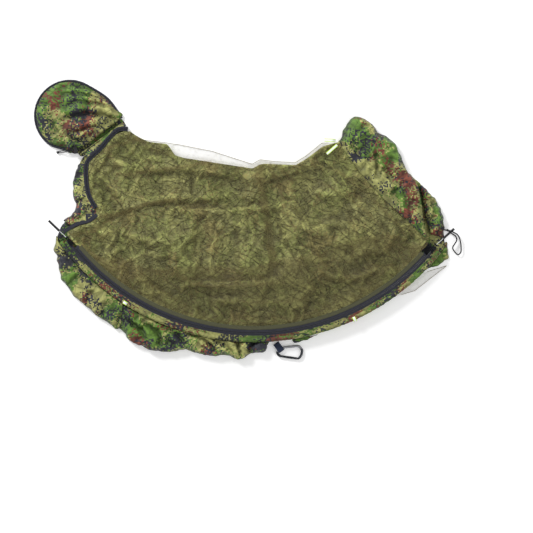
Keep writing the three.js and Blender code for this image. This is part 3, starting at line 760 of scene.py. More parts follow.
def moulded_material(name, colour, rough, ribs=None):
    """Moulded plastic with a fine grain, duller where handled; ribs gives the pitch of moulded rings."""
    s = Shader(name)
    at = s.place()
    grain = s.noise(at, 2600, detail=2)
    normal = s.bump(grain, 0.04 * MM)
    if ribs:
        normal = s.bump(s.ribs(s.fabric(), ribs), 0.35 * MM, normal)
    handled = s.ramp(s.noise(at, 140, detail=3), 0.35, 0.7, rough - 0.1, rough + 0.12)
    shade = s.mix(s.noise(at, 90, detail=3), colour, tuple(min(1, c * 1.5) for c in colour))
    return s.finish(s.surface(shade, handled, normal, specular=0.4))


def metal_material(name, colour, wear_and_highlight_colour, rough, metallic=1.0):
    """Coated or shiny bare metal with fine scratches and bright wear. A point attribute that a piece may set
    mixes in the same bright colour as a painted highlight, standing in for a reflection.
    """
    s = Shader(name)
    at = s.place()
    scratches = s.noise(s.vector("MULTIPLY", at, (1, 1, 0.2)), 900, detail=6, rough=0.7)
    bright = s.attribute("polished")
    # worn spots from the noise, plus the painted highlight where a piece sets it
    worn = s.math("MAXIMUM", s.ramp(s.noise(at, 210, detail=5, rough=0.65), 0.60, 0.72), bright)
    shade = s.mix(worn, colour, wear_and_highlight_colour)
    gloss = s.ramp(scratches, 0.3, 0.7, rough - 0.08, rough + 0.12)
    return s.finish(s.surface(shade, gloss, s.bump(scratches, 0.02 * MM), metallic=metallic))


def reflective_material(half_width):
    """Silver retro-reflective tape with a neon yellow edge on both sides; v runs across from the middle."""
    s = Shader("reflective_tape")
    cloth = s.fabric()
    across = s.math("ABSOLUTE", s.split(cloth)[1])
    edge = s.math("GREATER_THAN", across, half_width * 0.62)
    beads = s.noise(cloth, 2400, detail=1)
    silver = s.mix(beads, srgb(232, 236, 232), srgb(250, 252, 250))
    colour = s.mix(edge, silver, srgb(205, 245, 50))
    normal = s.bump(s.math("MULTIPLY", beads, s.math("SUBTRACT", 1.0, edge)), 0.05 * MM)
    return s.finish(s.surface(colour, s.ramp(edge, 0, 1, 0.35, 0.75), normal, sheen=0.1))


def floor_material():
    s = Shader("studio_floor")
    tone = s.vector("MULTIPLY", s.ramp(s.noise(s.place(), 3, detail=2), 0.3, 0.7, 0.93, 0.95), (1, 1, 1))
    glow = s.add("ShaderNodeEmission", {"Color": tone, "Strength": 0.22})
    return s.finish(s.add("ShaderNodeAddShader", {0: s.surface(tone, 0.9, specular=0.1), 1: glow}))


SHELL, LINING, NET = shell_material(), lining_material(), net_material()
TAPE = woven_material("zip_tape", srgb(50, 51, 60), 1.1 * MM)
PIPING = woven_material("piping", srgb(44, 45, 55), 0.8 * MM)
BINDING = woven_material("net_binding_cloth", srgb(80, 80, 58), 1.0 * MM)
WEBBING = woven_material("webbing", srgb(38, 46, 68), 1.6 * MM, wear=srgb(72, 84, 112))
COIL = moulded_material("zip_coil", srgb(38, 39, 46), 0.38)
GRIP = moulded_material("grip_rubber", srgb(26, 26, 28), 0.6, ribs=3 * MM)
PLASTIC = moulded_material("black_plastic", srgb(24, 24, 26), 0.5)
ROD = moulded_material("glass_fibre", srgb(42, 43, 43), 0.35)
ZIP_METAL = metal_material("zip_metal", srgb(30, 31, 33), srgb(120, 121, 124), 0.38, 0.8)
# its pale second colour serves both worn spots and the painted highlight on the spine, which stands in for
# the spine's reflection
GUNMETAL = metal_material("carabiner_metal", srgb(58, 60, 64), srgb(226, 226, 232), 0.24)
STEEL = metal_material("spring_steel", srgb(170, 172, 174), srgb(205, 206, 208), 0.28)
WHITE_CORD = braid_material("white_cord", srgb(226, 230, 224), srgb(250, 252, 250), 0.8)
BLACK_CORD = braid_material("black_cord", srgb(20, 20, 22), srgb(46, 47, 51))
THREAD = braid_material("thread", srgb(70, 76, 46), srgb(110, 116, 80), 0.5)
HEM = braid_material("net_hem", srgb(132, 124, 98), srgb(170, 162, 134), 0.5)
DARK_THREAD = braid_material("dark_thread", srgb(40, 41, 50), srgb(84, 86, 98), 0.5)


# ---------------------------------------------------------------- lines read back from CAD sweeps and ribbons
def tube_line(node, sides):
    """The middle line of a CAD tube: ring by ring from one end cap to the other."""
    points, faces = weld(node)
    neighbours = [set() for _ in points]
    by_edge = {}
    for k, face in enumerate(faces):
        for a, b in zip(face, face[1:] + face[:1]):
            neighbours[a].add(b)
            neighbours[b].add(a)
            by_edge.setdefault(frozenset((a, b)), []).append(k)
    corners = points[np.array(faces)]
    normals = np.cross(corners[:, 1] - corners[:, 0], corners[:, 2] - corners[:, 0])
    normals /= np.maximum(np.linalg.norm(normals, axis=1), 1e-12)[:, None]
    group = list(range(len(faces)))

    def root(k):
        while group[k] != k:
            k = group[k]
        return k

    for pair in by_edge.values():
        if len(pair) == 2 and normals[pair[0]] @ normals[pair[1]] > 0.99999:
            group[root(pair[0])] = root(pair[1])
    members = {}
    for k in range(len(faces)):
        members.setdefault(root(k), []).append(k)
    caps = [m for m in members.values() if len(m) == sides - 2]
    caps = [c for c in caps if len({i for k in c for i in faces[k]}) == sides]
    cap = min(caps, key=lambda c: min(c))
    ring = {i for k in cap for i in faces[k]}
    seen, line = set(ring), []
    while ring:
        line.append(points[sorted(ring)].mean(0))
        ring = {j for i in ring for j in neighbours[i]} - seen
        seen |= ring
    return np.array(line)


def ribbon_line(node):
    """The middle line of a CAD ribbon, its half width and its middle height."""
    outline = outline_of(node)
    half = len(outline) // 2
    best = None
    for turn in range(half):
        p = np.roll(outline, turn, axis=0)
        one, other = p[:half], p[half:][::-1]
        width = np.linalg.norm(one - other, axis=1)
        if best is None or width.max() < best[0]:
            best = (width.max(), (one + other) / 2, width.mean() / 2)
    low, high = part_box(node)
    middle = (low.z + high.z) / 2
    line = np.column_stack([best[1], np.full(half, middle)])
    return line, best[2], (high.z - low.z) / 2


def long_axis(node):
    """Middle, long direction and half length of a straight CAD piece."""
    points, _ = weld(node)
    middle = (points.max(0) + points.min(0)) / 2
    _, _, axes = np.linalg.svd(points - points.mean(0), full_matrices=False)
    reach = (points - middle) @ axes[0]
    middle = middle + axes[0] * (reach.max() + reach.min()) / 2
    return middle, axes[0], (reach.max() - reach.min()) / 2


def strap_profile(half_width, half_thickness):
    """A flat strap's section with rounded edges."""
    r = half_thickness
    turn = np.linspace(-math.pi / 2, math.pi / 2, 5)
    right = np.column_stack([half_width - r + r * np.cos(turn), r * np.sin(turn)])
    across = np.linspace(1, -1, 5)[1:-1] * (half_width - r)
    top = np.column_stack([across, np.full(3, r)])
    return np.vstack([right, top, -right, -top])


STITCH = 3.4 * MM
STITCH_PITCH = 4.8 * MM
STITCH_RISE = 0.25 * MM
THREAD_RADIUS = 0.32 * MM


def dashes(path):
    """Sewing thread lying on a seam: one short tube for each stitch."""
    s = lengths_along(path)
    parts = []
    for start in np.arange(STITCH_PITCH / 2, s[-1] - STITCH_PITCH, STITCH_PITCH):
        at = start + STITCH * np.array([0, 0.5, 1])
        stitch = np.column_stack([np.interp(at, s, path[:, k]) for k in range(3)])
        stitch[1, 2] += STITCH_RISE
        parts.append(sweep(stitch, section(THREAD_RADIUS, 6), scale=(0.5, 1, 0.5)))
    return parts


def stitching(name, paths, body, material=THREAD):
    make_joined(name, [part for path in paths for part in dashes(path)], material, body)


# ---------------------------------------------------------------- ground sheet and lining
GROUND = outline_of("ground_sheet")
SACK = "sack"
HEAD_ZIP, HEAD_ZIP_HALF, _ = ribbon_line("head_zip_tape")
CORNER_ZIP, CORNER_ZIP_HALF, _ = ribbon_line("corner_zip_tape")


def drawn_to(rim, line, gap, reach):
    """A sheet's rim points near a zip are moved until they lie gap from its middle, each on its own side."""
    away, along = line_distance(rim, line[:, :2])
    s = lengths_along(line[:, :2])
    nearest = np.column_stack([np.interp(along, s, line[:, k]) for k in (0, 1)])
    target = nearest + (rim - nearest) / np.maximum(away, 1e-6)[:, None] * gap
    weight = np.clip((reach - away) / (0.35 * reach), 0, 1)
    return rim + (target - rim) * weight[:, None]


def to_zips(gap, reach):
    """A shaping function for a sheet that is sewn to the head zip and the corner zip."""
    def shaped(rim):
        for line in (HEAD_ZIP, CORNER_ZIP):
            rim = drawn_to(rim, line, gap * MM, reach * MM)
        return rim
    return shaped


def under_foot_panel(gap, reach):
    """A shaping function for a sheet whose edge is tucked gap mm in under the foot panel."""
    panel = outline_of("foot_panel")

    def shaped(rim):
        tucked = drawn_to(rim, looped(panel), -gap * MM, reach * MM)
        share = np.clip((rim[:, 1] - FOLD_Y + 16 * MM) / (18 * MM), 0, 1) * ~inside(rim, panel)
        return rim + (tucked - rim) * share[:, None]
    return shaped


def risen(plan, z, reach=14):
    """Heights that climb to the underside of the head zip and the corner zip."""
    for line in (HEAD_ZIP, CORNER_ZIP):
        away, _ = line_distance(plan, line[:, :2])
        under = line[0][2] - 1.4 * MM
        z = z + (under - z) * np.exp(-((np.maximum(away - 5 * MM, 0) / (reach * MM)) ** 2))
    return z


def ruffled(rim, seed, inset=0.0, uneven=2.4):
    """The free outer edge of a cut sheet, rounded and made uneven; its sewn edges stay where they are."""
    free = (line_distance(rim, GROUND, closed=True)[0] < ON_GROUND_LINE).astype(float)
    for _ in range(3):
        free = np.minimum(free, (np.roll(free, 1) + free + np.roll(free, -1)) / 3)
    moved = rim.copy()
    for _ in range(9):
        between = (np.roll(moved, 1, axis=0) + np.roll(moved, -1, axis=0)) / 2
        moved += 0.6 * free[:, None] * (between - moved)
    ahead = headings(moved, closed=True)
    outward = np.column_stack([ahead[:, 1], -ahead[:, 0]])
    wobble = uneven * (waves(rim, 46 * MM, seed + 70) + 0.5 * waves(rim, 20 * MM, seed + 71)) - inset
    return moved + outward * (free * wobble * MM)[:, None]


def net_edge_inset(rim):
    """How far the ground sheet stays back from its outline, in mm: more where only the net ends above it."""
    top = (rim[:, 0] > mm(-370)) & (rim[:, 0] < mm(262)) & (rim[:, 1] > mm(160))
    return np.where(top, 22.0, 5.5)


def cloth_sheet(name, material, spacing, seed, height, growth, shape, **options):
    """A sheet cut to a CAD layer's outline, raised by height(sheet), then crumpled as cloth."""
    sheet = Sheet(outline_of(name), spacing * MM, seed, shape)
    points = np.column_stack([sheet.plan, height(sheet)])
    piece = make(name, points, sheet.faces, material, None, fabric=sheet.plan * (1 + growth))
    crumple(piece, sheet.on_rim, growth, **options)
    return piece


def ground_sheet():
    def height(sheet):
        ripple = creases(sheet.plan, 60 * MM, 3) * 1.2 * MM + creases(sheet.plan, 21 * MM, 4) * 0.6 * MM
        return 1.2 * MM + ripple * np.clip(sheet.edge_distance / (8 * MM), 0, 1)

    def shape(rim):
        return ruffled(rim, 1, net_edge_inset(rim), 1.5)

    piece = cloth_sheet("ground_sheet", SHELL, 9, 1, height, 0.0, shape, steps=1)
    close_down(piece, GROUND_GAP)
    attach(piece, SACK)


RISING, FALLING = -0.75, 0.8  # headings, in radians, that creases run across: on the left and on the right
LINING_RIM_Z = 25 * MM
LINING_LOW_Z = 11 * MM
SLEEPING_FOLDS = [  # long folds of the lining: a crest, and a valley in its lee
    ([(-396, 203), (-226, 214), (-48, 187), (80, 190)], 15, 8),
    ([(-396, 186), (-226, 194), (-48, 168)], 12, -6),
    ([(-483, 52), (-322, 112), (-149, 124), (17, 126)], 16, 8),
    ([(-483, 36), (-322, 92), (-149, 102), (17, 108)], 10, -7),
    ([(-235, 76), (-149, 72), (22, 84), (150, 92)], 12, 7),
    ([(-235, 92), (-149, 88), (22, 97)], 7, -6),
    ([(-430, 20), (-330, -15), (-215, -5), (-120, 20)], 12, 7),
    ([(-300, 30), (-235, -50), (-190, -92)], 9, 6),
    ([(-180, 60), (-215, -20), (-260, -70)], 10, 7),
    ([(-90, 60), (-120, -10), (-140, -60)], 8, 6),
    ([(40, 40), (20, -30), (60, -75)], 10, 7),
    ([(110, 60), (180, 20), (260, 40), (330, 20)], 12, 7),
    ([(160, 150), (230, 130), (320, 145)], 12, 7),
    ([(-450, 250), (-380, 215), (-330, 240), (-250, 238)], 10, 6),
    ([(-480, 190), (-420, 140), (-380, 90)], 12, 6),
    ([(-420, -90), (-330, -60), (-270, -62)], 10, 6),
    ([(-229, -152), (0, -150), (70, -140), (160, -150)], 14, 8),
    ([(-229, -134), (0, -134), (65, -124)], 10, -6),
    ([(-180, -212), (-56, -205), (205, -214)], 12, 7),
    ([(-150, -262), (0, -276), (161, -258)], 11, 6),
    ([(200, -110), (300, -130), (400, -100)], 12, 7),
    ([(-380, -170), (-300, -180), (-240, -215)], 11, 6),
]


def lining_height(sheet):
    p, d = sheet.plan, sheet.edge_distance
    wall = np.exp(-((d / (30 * MM)) ** 1.3))
    z = LINING_LOW_Z + (LINING_RIM_Z - LINING_LOW_Z) * wall
    loose = 1 - wall
    z += loose * (3.2 * MM * waves(p, 150 * MM, 11) + 3.4 * MM * creases(p, 120 * MM, 12)
                  + 1.0 * MM * waves(p, 26 * MM, 14))
    to_foot = np.clip((p[:, 0] + mm(60)) / mm(220), 0, 1)
    rising = creases(p, 46 * MM, 13, direction=RISING, spread=0.35)
    falling = creases(p, 46 * MM, 15, direction=FALLING, spread=0.35)
    z += loose * 4.6 * MM * (rising * (1 - to_foot) + falling * to_foot)
    z += (0.3 + 0.7 * loose) * folds_height(p, SLEEPING_FOLDS)
    return risen(p, z, 20)


ZIP_END_CORNERS = [  # in mm: a corner, and how far it is drawn out
    ((-560, 0), (-17, 7)), ((526, -14), (13, 1)),
]
LINING_TO_NET = (  # x in mm, and how far the lining's top edge goes towards the net's edge there
    [-372, -352, -272, -246, -6, 24, 236, 262], [0, 1, 1, 0.1, 0.1, 0.6, 0.6, 0],
)


def drawn_out(rim):
    """Draws a sheet's two corners out into the ends of the long zip."""
    for corner, pull in ZIP_END_CORNERS:
        away = np.linalg.norm(rim - mm(corner), axis=1)
        rim = rim + np.exp(-((away / (20 * MM)) ** 2))[:, None] * mm(pull)
    return rim


def lining_rim(rim):
    """The lining's edge: sewn to the zips, under the foot panel, and in two places out to the net's edge."""
    reached = drawn_to(rim, looped(outline_of("net_upper")), 4 * MM, 90 * MM)
    share = np.interp(rim[:, 0] / MM, *LINING_TO_NET)
    share *= rim[:, 1] > mm(190)
    rim = rim + (reached - rim) * share[:, None]
    return drawn_out(to_zips(7, 75)(under_foot_panel(4, 40)(rim)))


def inner_lining():
    piece = cloth_sheet("inner_lining", LINING, 6.5, 2, lining_height, 0.075, lining_rim, steps=14, cap=9)
    keep_between(piece, SHEET_LOW + 1 * MM, 29 * MM)
    subdivide(piece)
    mark_relief(piece)
    top = coordinates(piece)
    close_down(piece, SHEET_LOW + 0.2 * MM)
    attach(piece, SACK)
    return top


# ---------------------------------------------------------------- outer cloth: skirt, walls, foot, neck
def lapped(name, seed):
    """A shaping function for a wall cloth: a ruffled outer edge, and a lap over its neighbour's edge."""
    def shaped(rim):
        rim = ruffled(rim, seed)
        if name == "left_wall":
            return to_zips(2, 24)(rim)
        for under in LAPS.get(name, ()):
            rim = drawn_to(rim, looped(outline_of(under)), -3 * MM, 13 * MM)
        return rim
    return shaped


LAPS = {"skirt_gathered": ("skirt_left", "skirt_flap"), "foot_panel": ("foot_corner",)}


ON_GROUND_LINE = 9 * MM  # rim points nearer than this to the ground sheet's outline are the outer edge


def wall_cloth(name, crown, inner, seed, growth, roll, ripple, top, spacing=5.0, folds=()):
    """Cloth that stands up from the ground: round at its outer edge, and inner mm high where it meets a seam.

    All in mm: crown is its height inside the rounded edge, roll that edge's width, ripple the size of its
    waves, and top the height that nothing passes. growth is by how much the cloth is larger than its place.
    """
    outline = outline_of(name)
    sewn = name in ("left_wall", "neck_band")
    sheet = Sheet(outline, spacing * MM, seed, lapped(name, seed))
    p = sheet.plan
    rim_to_ground = line_distance(resample(outline, spacing * MM, closed=True), GROUND, closed=True)[0]
    outer = sheet.rim[rim_to_ground < ON_GROUND_LINE]
    seam = sheet.rim[rim_to_ground >= ON_GROUND_LINE]
    out = np.min(np.linalg.norm(p[:, None, :] - outer[None, :, :], axis=2), axis=1)
    at_seam = np.min(np.linalg.norm(p[:, None, :] - seam[None, :, :], axis=2), axis=1)
    t = np.clip(1 - out / (roll * MM), 0, 1)
    base = SHEET_LOW + (crown * MM - SHEET_LOW) * np.sqrt(np.clip(1 - t**2, 0, 1))
    seam_share = np.exp(-((at_seam / (14 * MM)) ** 2))
    drop = np.minimum(base, inner * MM)
    z = base + (drop - base) * seam_share
    free = np.clip(out / (roll * MM), 0, 1) * (1 - 0.75 * seam_share)
    z += free * MM * ripple * (waves(p, 80 * MM, seed + 40) + 1.6 * (creases(p, 60 * MM, seed + 41) - 0.35)
                               + 0.5 * waves(p, 24 * MM, seed + 42))
    z += np.clip(out / (10 * MM), 0, 1) * folds_height(p, folds)
    if sewn:
        z = risen(p, z)
    cut_from = seed * 0.37
    fabric = p * (1 + growth) + cut_from
    piece = make(name, np.column_stack([p, z]), sheet.faces, SHELL, None, fabric=fabric)
    crumple(piece, sheet.on_rim, growth)
    keep_between(piece, SHEET_LOW, (31 if sewn else top) * MM)
    subdivide(piece)
    mark_relief(piece)
    close_down(piece, SHEET_LOW + 0.1 * MM)
    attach(piece, SACK)


SKIRT_LEFT_FOLDS = [
    ([(-566, -60), (-592, -52)], 7, -7), ([(-540, -118), (-575, -150)], 8, -7),
    ([(-500, -165), (-520, -205)], 7, -8), ([(-478, -195), (-505, -238)], 9, 6),
    ([(-462, -208), (-470, -246)], 7, -8), ([(-430, -232), (-446, -268)], 8, 6),
    ([(-408, -240), (-430, -285)], 7, -9), ([(-560, -100), (-600, -80)], 9, 5),
]
GATHER_FOLDS = [
    ([(-395, -262), (-350, -290), (-330, -320)], 8, -12), ([(-372, -262), (-338, -285), (-306, -345)], 8, 9),
    ([(-340, -268), (-300, -300), (-285, -340)], 8, -13), ([(-310, -272), (-262, -300), (-232, -342)], 9, 10),
    ([(-282, -285), (-236, -310), (-208, -340)], 7, -13), ([(-255, -283), (-190, -305), (-130, -352)], 9, 10),
    ([(-222, -292), (-160, -322), (-110, -362)], 6, -14), ([(-190, -296), (-120, -322), (-62, -372)], 8, 10),
    ([(-150, -304), (-100, -335), (-58, -360)], 6, -13), ([(-118, -304), (-75, -330), (-46, -380)], 8, 9),
    ([(-62, -308), (-50, -340), (-40, -380)], 6, -12), ([(-20, -312), (-30, -345), (-36, -378)], 8, 9),
    ([(8, -314), (-8, -340), (-22, -362)], 6, -12), ([(30, -318), (16, -345), (4, -358)], 8, 7),
]
FOOT_FOLDS = [
    ([(375, 267), (380, 220), (375, 174)], 5, -9), ([(392, 262), (394, 215), (390, 172)], 9, 4),
    ([(330, 340), (345, 290), (335, 255)], 8, -6), ([(300, 330), (290, 290), (300, 260)], 8, 5),
    ([(430, 250), (418, 205), (430, 160)], 8, -6), ([(470, 170), (450, 130), (458, 95)], 9, 6),
    ([(500, 120), (482, 80), (492, 40)], 7, -6), ([(400, 130), (440, 140), (480, 180)], 7, -5),
    ([(360, 350), (380, 300), (420, 280)], 8, 5), ([(505, 10), (490, 45), (500, 80)], 8, 5),
]
FOOT_FOLD_CREASES = [
    ([(548, 30), (556, 80), (545, 125)], 6, -9), ([(570, 20), (574, 60), (562, 100)], 8, 6),
    ([(560, 5), (580, 25), (588, 50)], 7, -6),
]
LEFT_WALL_FOLDS = [
    ([(-545, 200), (-556, 178)], 8, -6), ([(-538, 160), (-560, 140)], 8, 5),
    ([(-530, 118), (-556, 104)], 7, -6),
    ([(-520, 78), (-552, 84)], 8, 5), ([(-530, 50), (-575, 62)], 8, -5),
]


def outer_cloth():
    wall_cloth("skirt_left", 30, 27, 5, 0.06, roll=34, ripple=2.4, top=32, spacing=6.0,
               folds=SKIRT_LEFT_FOLDS)
    wall_cloth("skirt_gathered", 31, 25, 6, 0.09, roll=24, ripple=3.0, top=37, folds=GATHER_FOLDS)
    wall_cloth("skirt_flap", 10, 8, 7, 0.05, roll=14, ripple=1.4, top=12)
    wall_cloth("foot_corner", 13, 11, 8, 0.05, roll=16, ripple=1.6, top=15)
    wall_cloth("left_wall", 25, 21, 9, 0.08, roll=20, ripple=2.4, top=27, folds=LEFT_WALL_FOLDS)
    wall_cloth("neck_band", 12, 11, 10, 0.05, roll=12, ripple=1.2, top=14)
    wall_cloth("foot_panel", 43, 38, 11, 0.06, roll=40, ripple=3.0, top=50, spacing=6.0, folds=FOOT_FOLDS)
    wall_cloth("foot_fold", 26, 12, 12, 0.08, roll=22, ripple=2.4, top=29, folds=FOOT_FOLD_CREASES)


ground_sheet()
LINING_TOP = inner_lining()
outer_cloth()


# ---------------------------------------------------------------- hoop, sleeve and the wall under it
def puckered(piece, depth, pitch, seed):
    """Moves a swept cloth's points in and out along its surface normals, mostly across the seam."""
    co = coordinates(piece)
    normals = np.zeros(len(co) * 3)
    piece.data.vertices.foreach_get("normal", normals)
    flat = np.column_stack([bearing(co) * SLEEVE_LINE, (radius_of(co) - SLEEVE_LINE) + co[:, 2] * 0.6])
    push = waves(flat, pitch * MM, seed, spread=0.5)
    push += 0.6 * waves(flat, pitch * 2.6 * MM, seed + 1)
    set_coordinates(piece, co + normals.reshape(-1, 3) * (push * depth * MM)[:, None])


def sleeve_hem():
    """The sleeve's turned hem lies on the zip's outer tape, with a row of stitches at its edge."""
    start, end = arc_ends("zip_tape_shell_side")
    low_radius, high_radius = ZIP_RADIUS + 8.6 * MM, SLEEVE_LINE - 4 * MM
    path = arc_path((low_radius + high_radius) / 2, start, end, ZIP_Z + 1.15 * MM, step=0.35)
    profile = strap_profile((high_radius - low_radius) / 2, 0.55 * MM)
    hem = swept("sleeve_hem", path, profile, SHELL, SACK, level=True)
    puckered(hem, 0.16, 12, 36)
    seam = arc_path(low_radius + 2 * MM, start, end, ZIP_Z + 1.75 * MM, step=0.25)
    crest = arc_path(SLEEVE_LINE + 3.4 * MM, start + 1, end - 1, ZIP_Z + 7.1 * MM, step=0.25)
    stitching("sleeve_stitches", [seam, crest], SACK)


def hoop():
    """The sleeve, and the rod inside it."""
    path = arc_path(SLEEVE_LINE, *arc_ends("hoop_sleeve"), ZIP_Z, step=0.35)
    sleeve = swept("hoop_sleeve", path, section(SLEEVE_RADIUS - 0.5 * MM, 24), SHELL, SACK, level=True)
    puckered(sleeve, 0.5, 15, 31)
    rod = resample(tube_line("hoop_rod", 6), 6 * MM)
    swept("hoop_rod", rod, section(3.3 * MM, 16), ROD, SACK)


def side_wall():
    """A gathered band of cloth from the ground sheet up to the sleeve."""
    low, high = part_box("side_wall")
    tall, half = (high.z - low.z) / 2, 3.0 * MM
    path = arc_path(SLEEVE_LINE, *arc_ends("side_wall"), low.z + tall, step=0.35)
    one_side = np.column_stack([np.full(9, half), np.linspace(-tall, tall, 9)])
    profile = np.vstack([one_side, one_side[::-1] * (-1, 1)])
    wall = swept("side_wall", path, profile, SHELL, SACK, level=True)
    puckered(wall, 0.55, 19, 33)
    keep_between(wall, low.z, high.z)


# ---------------------------------------------------------------- zips
COIL_PITCH = 2.3 * MM
COIL_WIRE = 0.42 * MM


def coil(path, half_width, half_height, phase=0.0):
    """One half of a zip chain: a flattened spiral of nylon wire along a path."""
    line = resample(path, COIL_PITCH / 8)
    side, up = frames_along(line)
    turn = 2 * math.pi * np.arange(len(line)) / 8 + phase
    spiral = (line + side * (np.cos(turn) * (half_width - COIL_WIRE))[:, None]
              + up * (np.sin(turn) * (half_height - COIL_WIRE))[:, None])
    return sweep(spiral, section(COIL_WIRE, 5))


def arc_zip(suffix, side, body):
    """One half of the curved zip, side 1 towards the shell and -1 towards the net."""
    tape_points, _ = weld(f"zip_tape_{suffix}")
    radius = radius_of(tape_points)
    start, end = arc_ends(f"zip_tape_{suffix}")
    near, far = (radius.min(), radius.max()) if side > 0 else (radius.max(), radius.min())
    middle, half = (near + far) / 2, abs(far - near) / 2
    path = arc_path(middle, start, end, ZIP_Z, step=0.5)
    tape = swept(f"zip_tape_{suffix}", path, strap_profile(half, 0.42 * MM), TAPE, body, level=True)
    puckered(tape, 0.12, 22, 35)
    teeth = arc_path(ZIP_RADIUS + side * 2.3 * MM, start, end, ZIP_Z, step=0.25)
    core = arc_path(ZIP_RADIUS + side * 2.2 * MM, start, end, ZIP_Z, step=0.5)
    filler = sweep(core, strap_profile(2.0 * MM, 1.1 * MM), level=True)
    wire = coil(teeth, 1.3 * MM, 1.8 * MM, 0 if side > 0 else math.pi)
    make_joined(f"zip_teeth_{suffix}", [filler, wire], COIL, body)
    seam_z = ZIP_Z + 0.6 * MM
    seams = [arc_path(near + side * 1.2 * MM, start, end, seam_z, step=0.25)]
    stitching(f"zip_stitches_{suffix}", seams, body, DARK_THREAD)


def offset_path(path, by):
    side, _ = frames_along(path)
    return path + side * by


def head_zips():
    half = HEAD_ZIP_HALF
    line = resample(smooth(HEAD_ZIP, per_span=4), 3 * MM)
    tape = swept("head_zip_tape", line, strap_profile(half, 0.42 * MM), TAPE, SACK, level=True)
    tape_z = float(coordinates(tape)[:, 2].max())
    teeth_line = line + (0, 0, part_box("head_zip_teeth")[0].z + 1.0 * MM - line[0][2])
    halves = [coil(offset_path(teeth_line, s * 1.05 * MM), 1.0 * MM, 1.1 * MM, phase) for s, phase in
              ((1, 0.0), (-1, math.pi))]
    make_joined("head_zip_teeth", halves, COIL, SACK)
    on_tape = line + (0, 0, tape_z - line[0][2] + 0.1 * MM)
    seams = [offset_path(on_tape, s * (half - 1.5 * MM)) for s in (1, -1)]
    corner = resample(smooth(CORNER_ZIP, per_span=4), 3 * MM)
    swept("corner_zip_tape", corner, strap_profile(CORNER_ZIP_HALF, 0.5 * MM), TAPE, SACK, level=True)
    seams += [offset_path(corner + (0, 0, 0.6 * MM), s * (CORNER_ZIP_HALF - 1.4 * MM)) for s in (1, -1)]
    stitching("head_zip_stitches", seams, SACK, DARK_THREAD)


# ---------------------------------------------------------------- insect net
RASTER = 5 * MM
LOWER_NET = mm([(-700, 40), (-583, 12), (-480, -62), (-322, -100), (-200, -92), (3, -90), (70, -72),
                (112, -70), (205, -50), (266, -26), (330, 2), (437, 10), (490, -22), (560, -30)])
NET_PLEATS = [  # line in mm, half width in mm, height in mm, extra layers
    ([(14, 236), (22, 150), (40, 60), (52, -20), (60, -92)], 17, 2.4, 1.1),
    ([(-20, 232), (-60, 190), (-110, 150)], 10, 1.6, 0.8),
    ([(40, 234), (62, 190), (84, 150), (90, 108)], 9, 2.0, 1.2),
    ([(60, 232), (100, 190), (120, 160)], 8, 1.8, 1.0),
    ([(-360, 300), (-470, 262)], 9, 1.8, 1.2), ([(-360, 300), (-300, 262), (-180, 250)], 9, 1.6, 0.6),
    ([(-400, 190), (-290, 205), (-190, 216), (-110, 240)], 9, 2.0, 1.1),
    ([(-475, 62), (-410, 70), (-340, 96), (-250, 108)], 9, 2.0, 1.2),
    ([(-560, 0), (-500, 14), (-440, 50)], 10, 1.6, 0.9),
    ([(-568, -18), (-500, -10), (-420, 20)], 7, 1.2, 0.5),
    ([(-560, -30), (-490, -60), (-420, -120)], 8, 1.5, 0.6),
    ([(-480, 60), (-490, 20), (-470, -10)], 11, 1.2, 0.9),
    ([(236, 218), (300, 170), (370, 110), (440, 40), (470, 0)], 7, 2.2, 0.8),
    ([(130, 196), (220, 160), (330, 90), (420, 0)], 6, 1.9, 0.8),
    ([(100, 220), (230, 205), (320, 170)], 6, 1.3, 0.5),
    ([(285, 75), (320, -10), (300, -80)], 6, 1.5, 0.6), ([(190, -30), (210, -80), (240, -100)], 6, 1.4, 0.6),
    ([(-235, -118), (-160, -152), (-40, -152), (90, -146)], 8, 2.2, 1.0),
    ([(-322, -100), (-250, -150), (-190, -186)], 6, 1.6, 0.6),
    ([(-200, -92), (-130, -60), (-60, -90)], 6, 1.0, 0.3),
    ([(-190, -250), (-40, -272), (110, -262), (230, -214)], 6, 1.8, 0.7),
    ([(-120, -200), (40, -206), (180, -196)], 8, 1.8, 0.6),
    ([(330, -170), (400, -110), (470, -40)], 8, 1.6, 0.6),
    ([(-440, -150), (-380, -190), (-330, -225)], 5, 1.4, 0.5),
    ([(-460, -120), (-400, -170), (-345, -205)], 5, 1.2, 0.4),
]


def net_outline():
    """The upper net and the door as one outline: the door's arc, then the upper net's edge, leftwards."""
    upper, door = outline_of("net_upper"), outline_of("net_door")
    door = door[np.argsort(bearing(door))]
    start = int(np.argmax(upper[:, 0] - 2 * np.abs(upper[:, 1] - FOLD_Y)))
    upper = np.roll(upper, -start, axis=0)
    return np.vstack([door, upper[np.abs(upper[:, 1] - FOLD_Y) > 2 * MM]])


def lining_raster():
    """Heights that the net rests on: the lining's highest points, spread and softened, on a square grid."""
    low = LINING_TOP[:, :2].min(0) - 6 * RASTER
    size = ((LINING_TOP[:, :2].max(0) - low) / RASTER).astype(int) + 8
    grid = np.zeros(size)
    cell = ((LINING_TOP[:, :2] - low) / RASTER).astype(int)
    np.maximum.at(grid, (cell[:, 0], cell[:, 1]), LINING_TOP[:, 2])
    near = [(0, 0), (1, 0), (-1, 0), (0, 1), (0, -1)]
    corners = near + [(1, 1), (1, -1), (-1, 1), (-1, -1)]
    for steps in (corners, near):
        grid = np.max([np.roll(np.roll(grid, i, 0), j, 1) for i, j in steps], axis=0)
    return low, spread_mean(grid, 4)


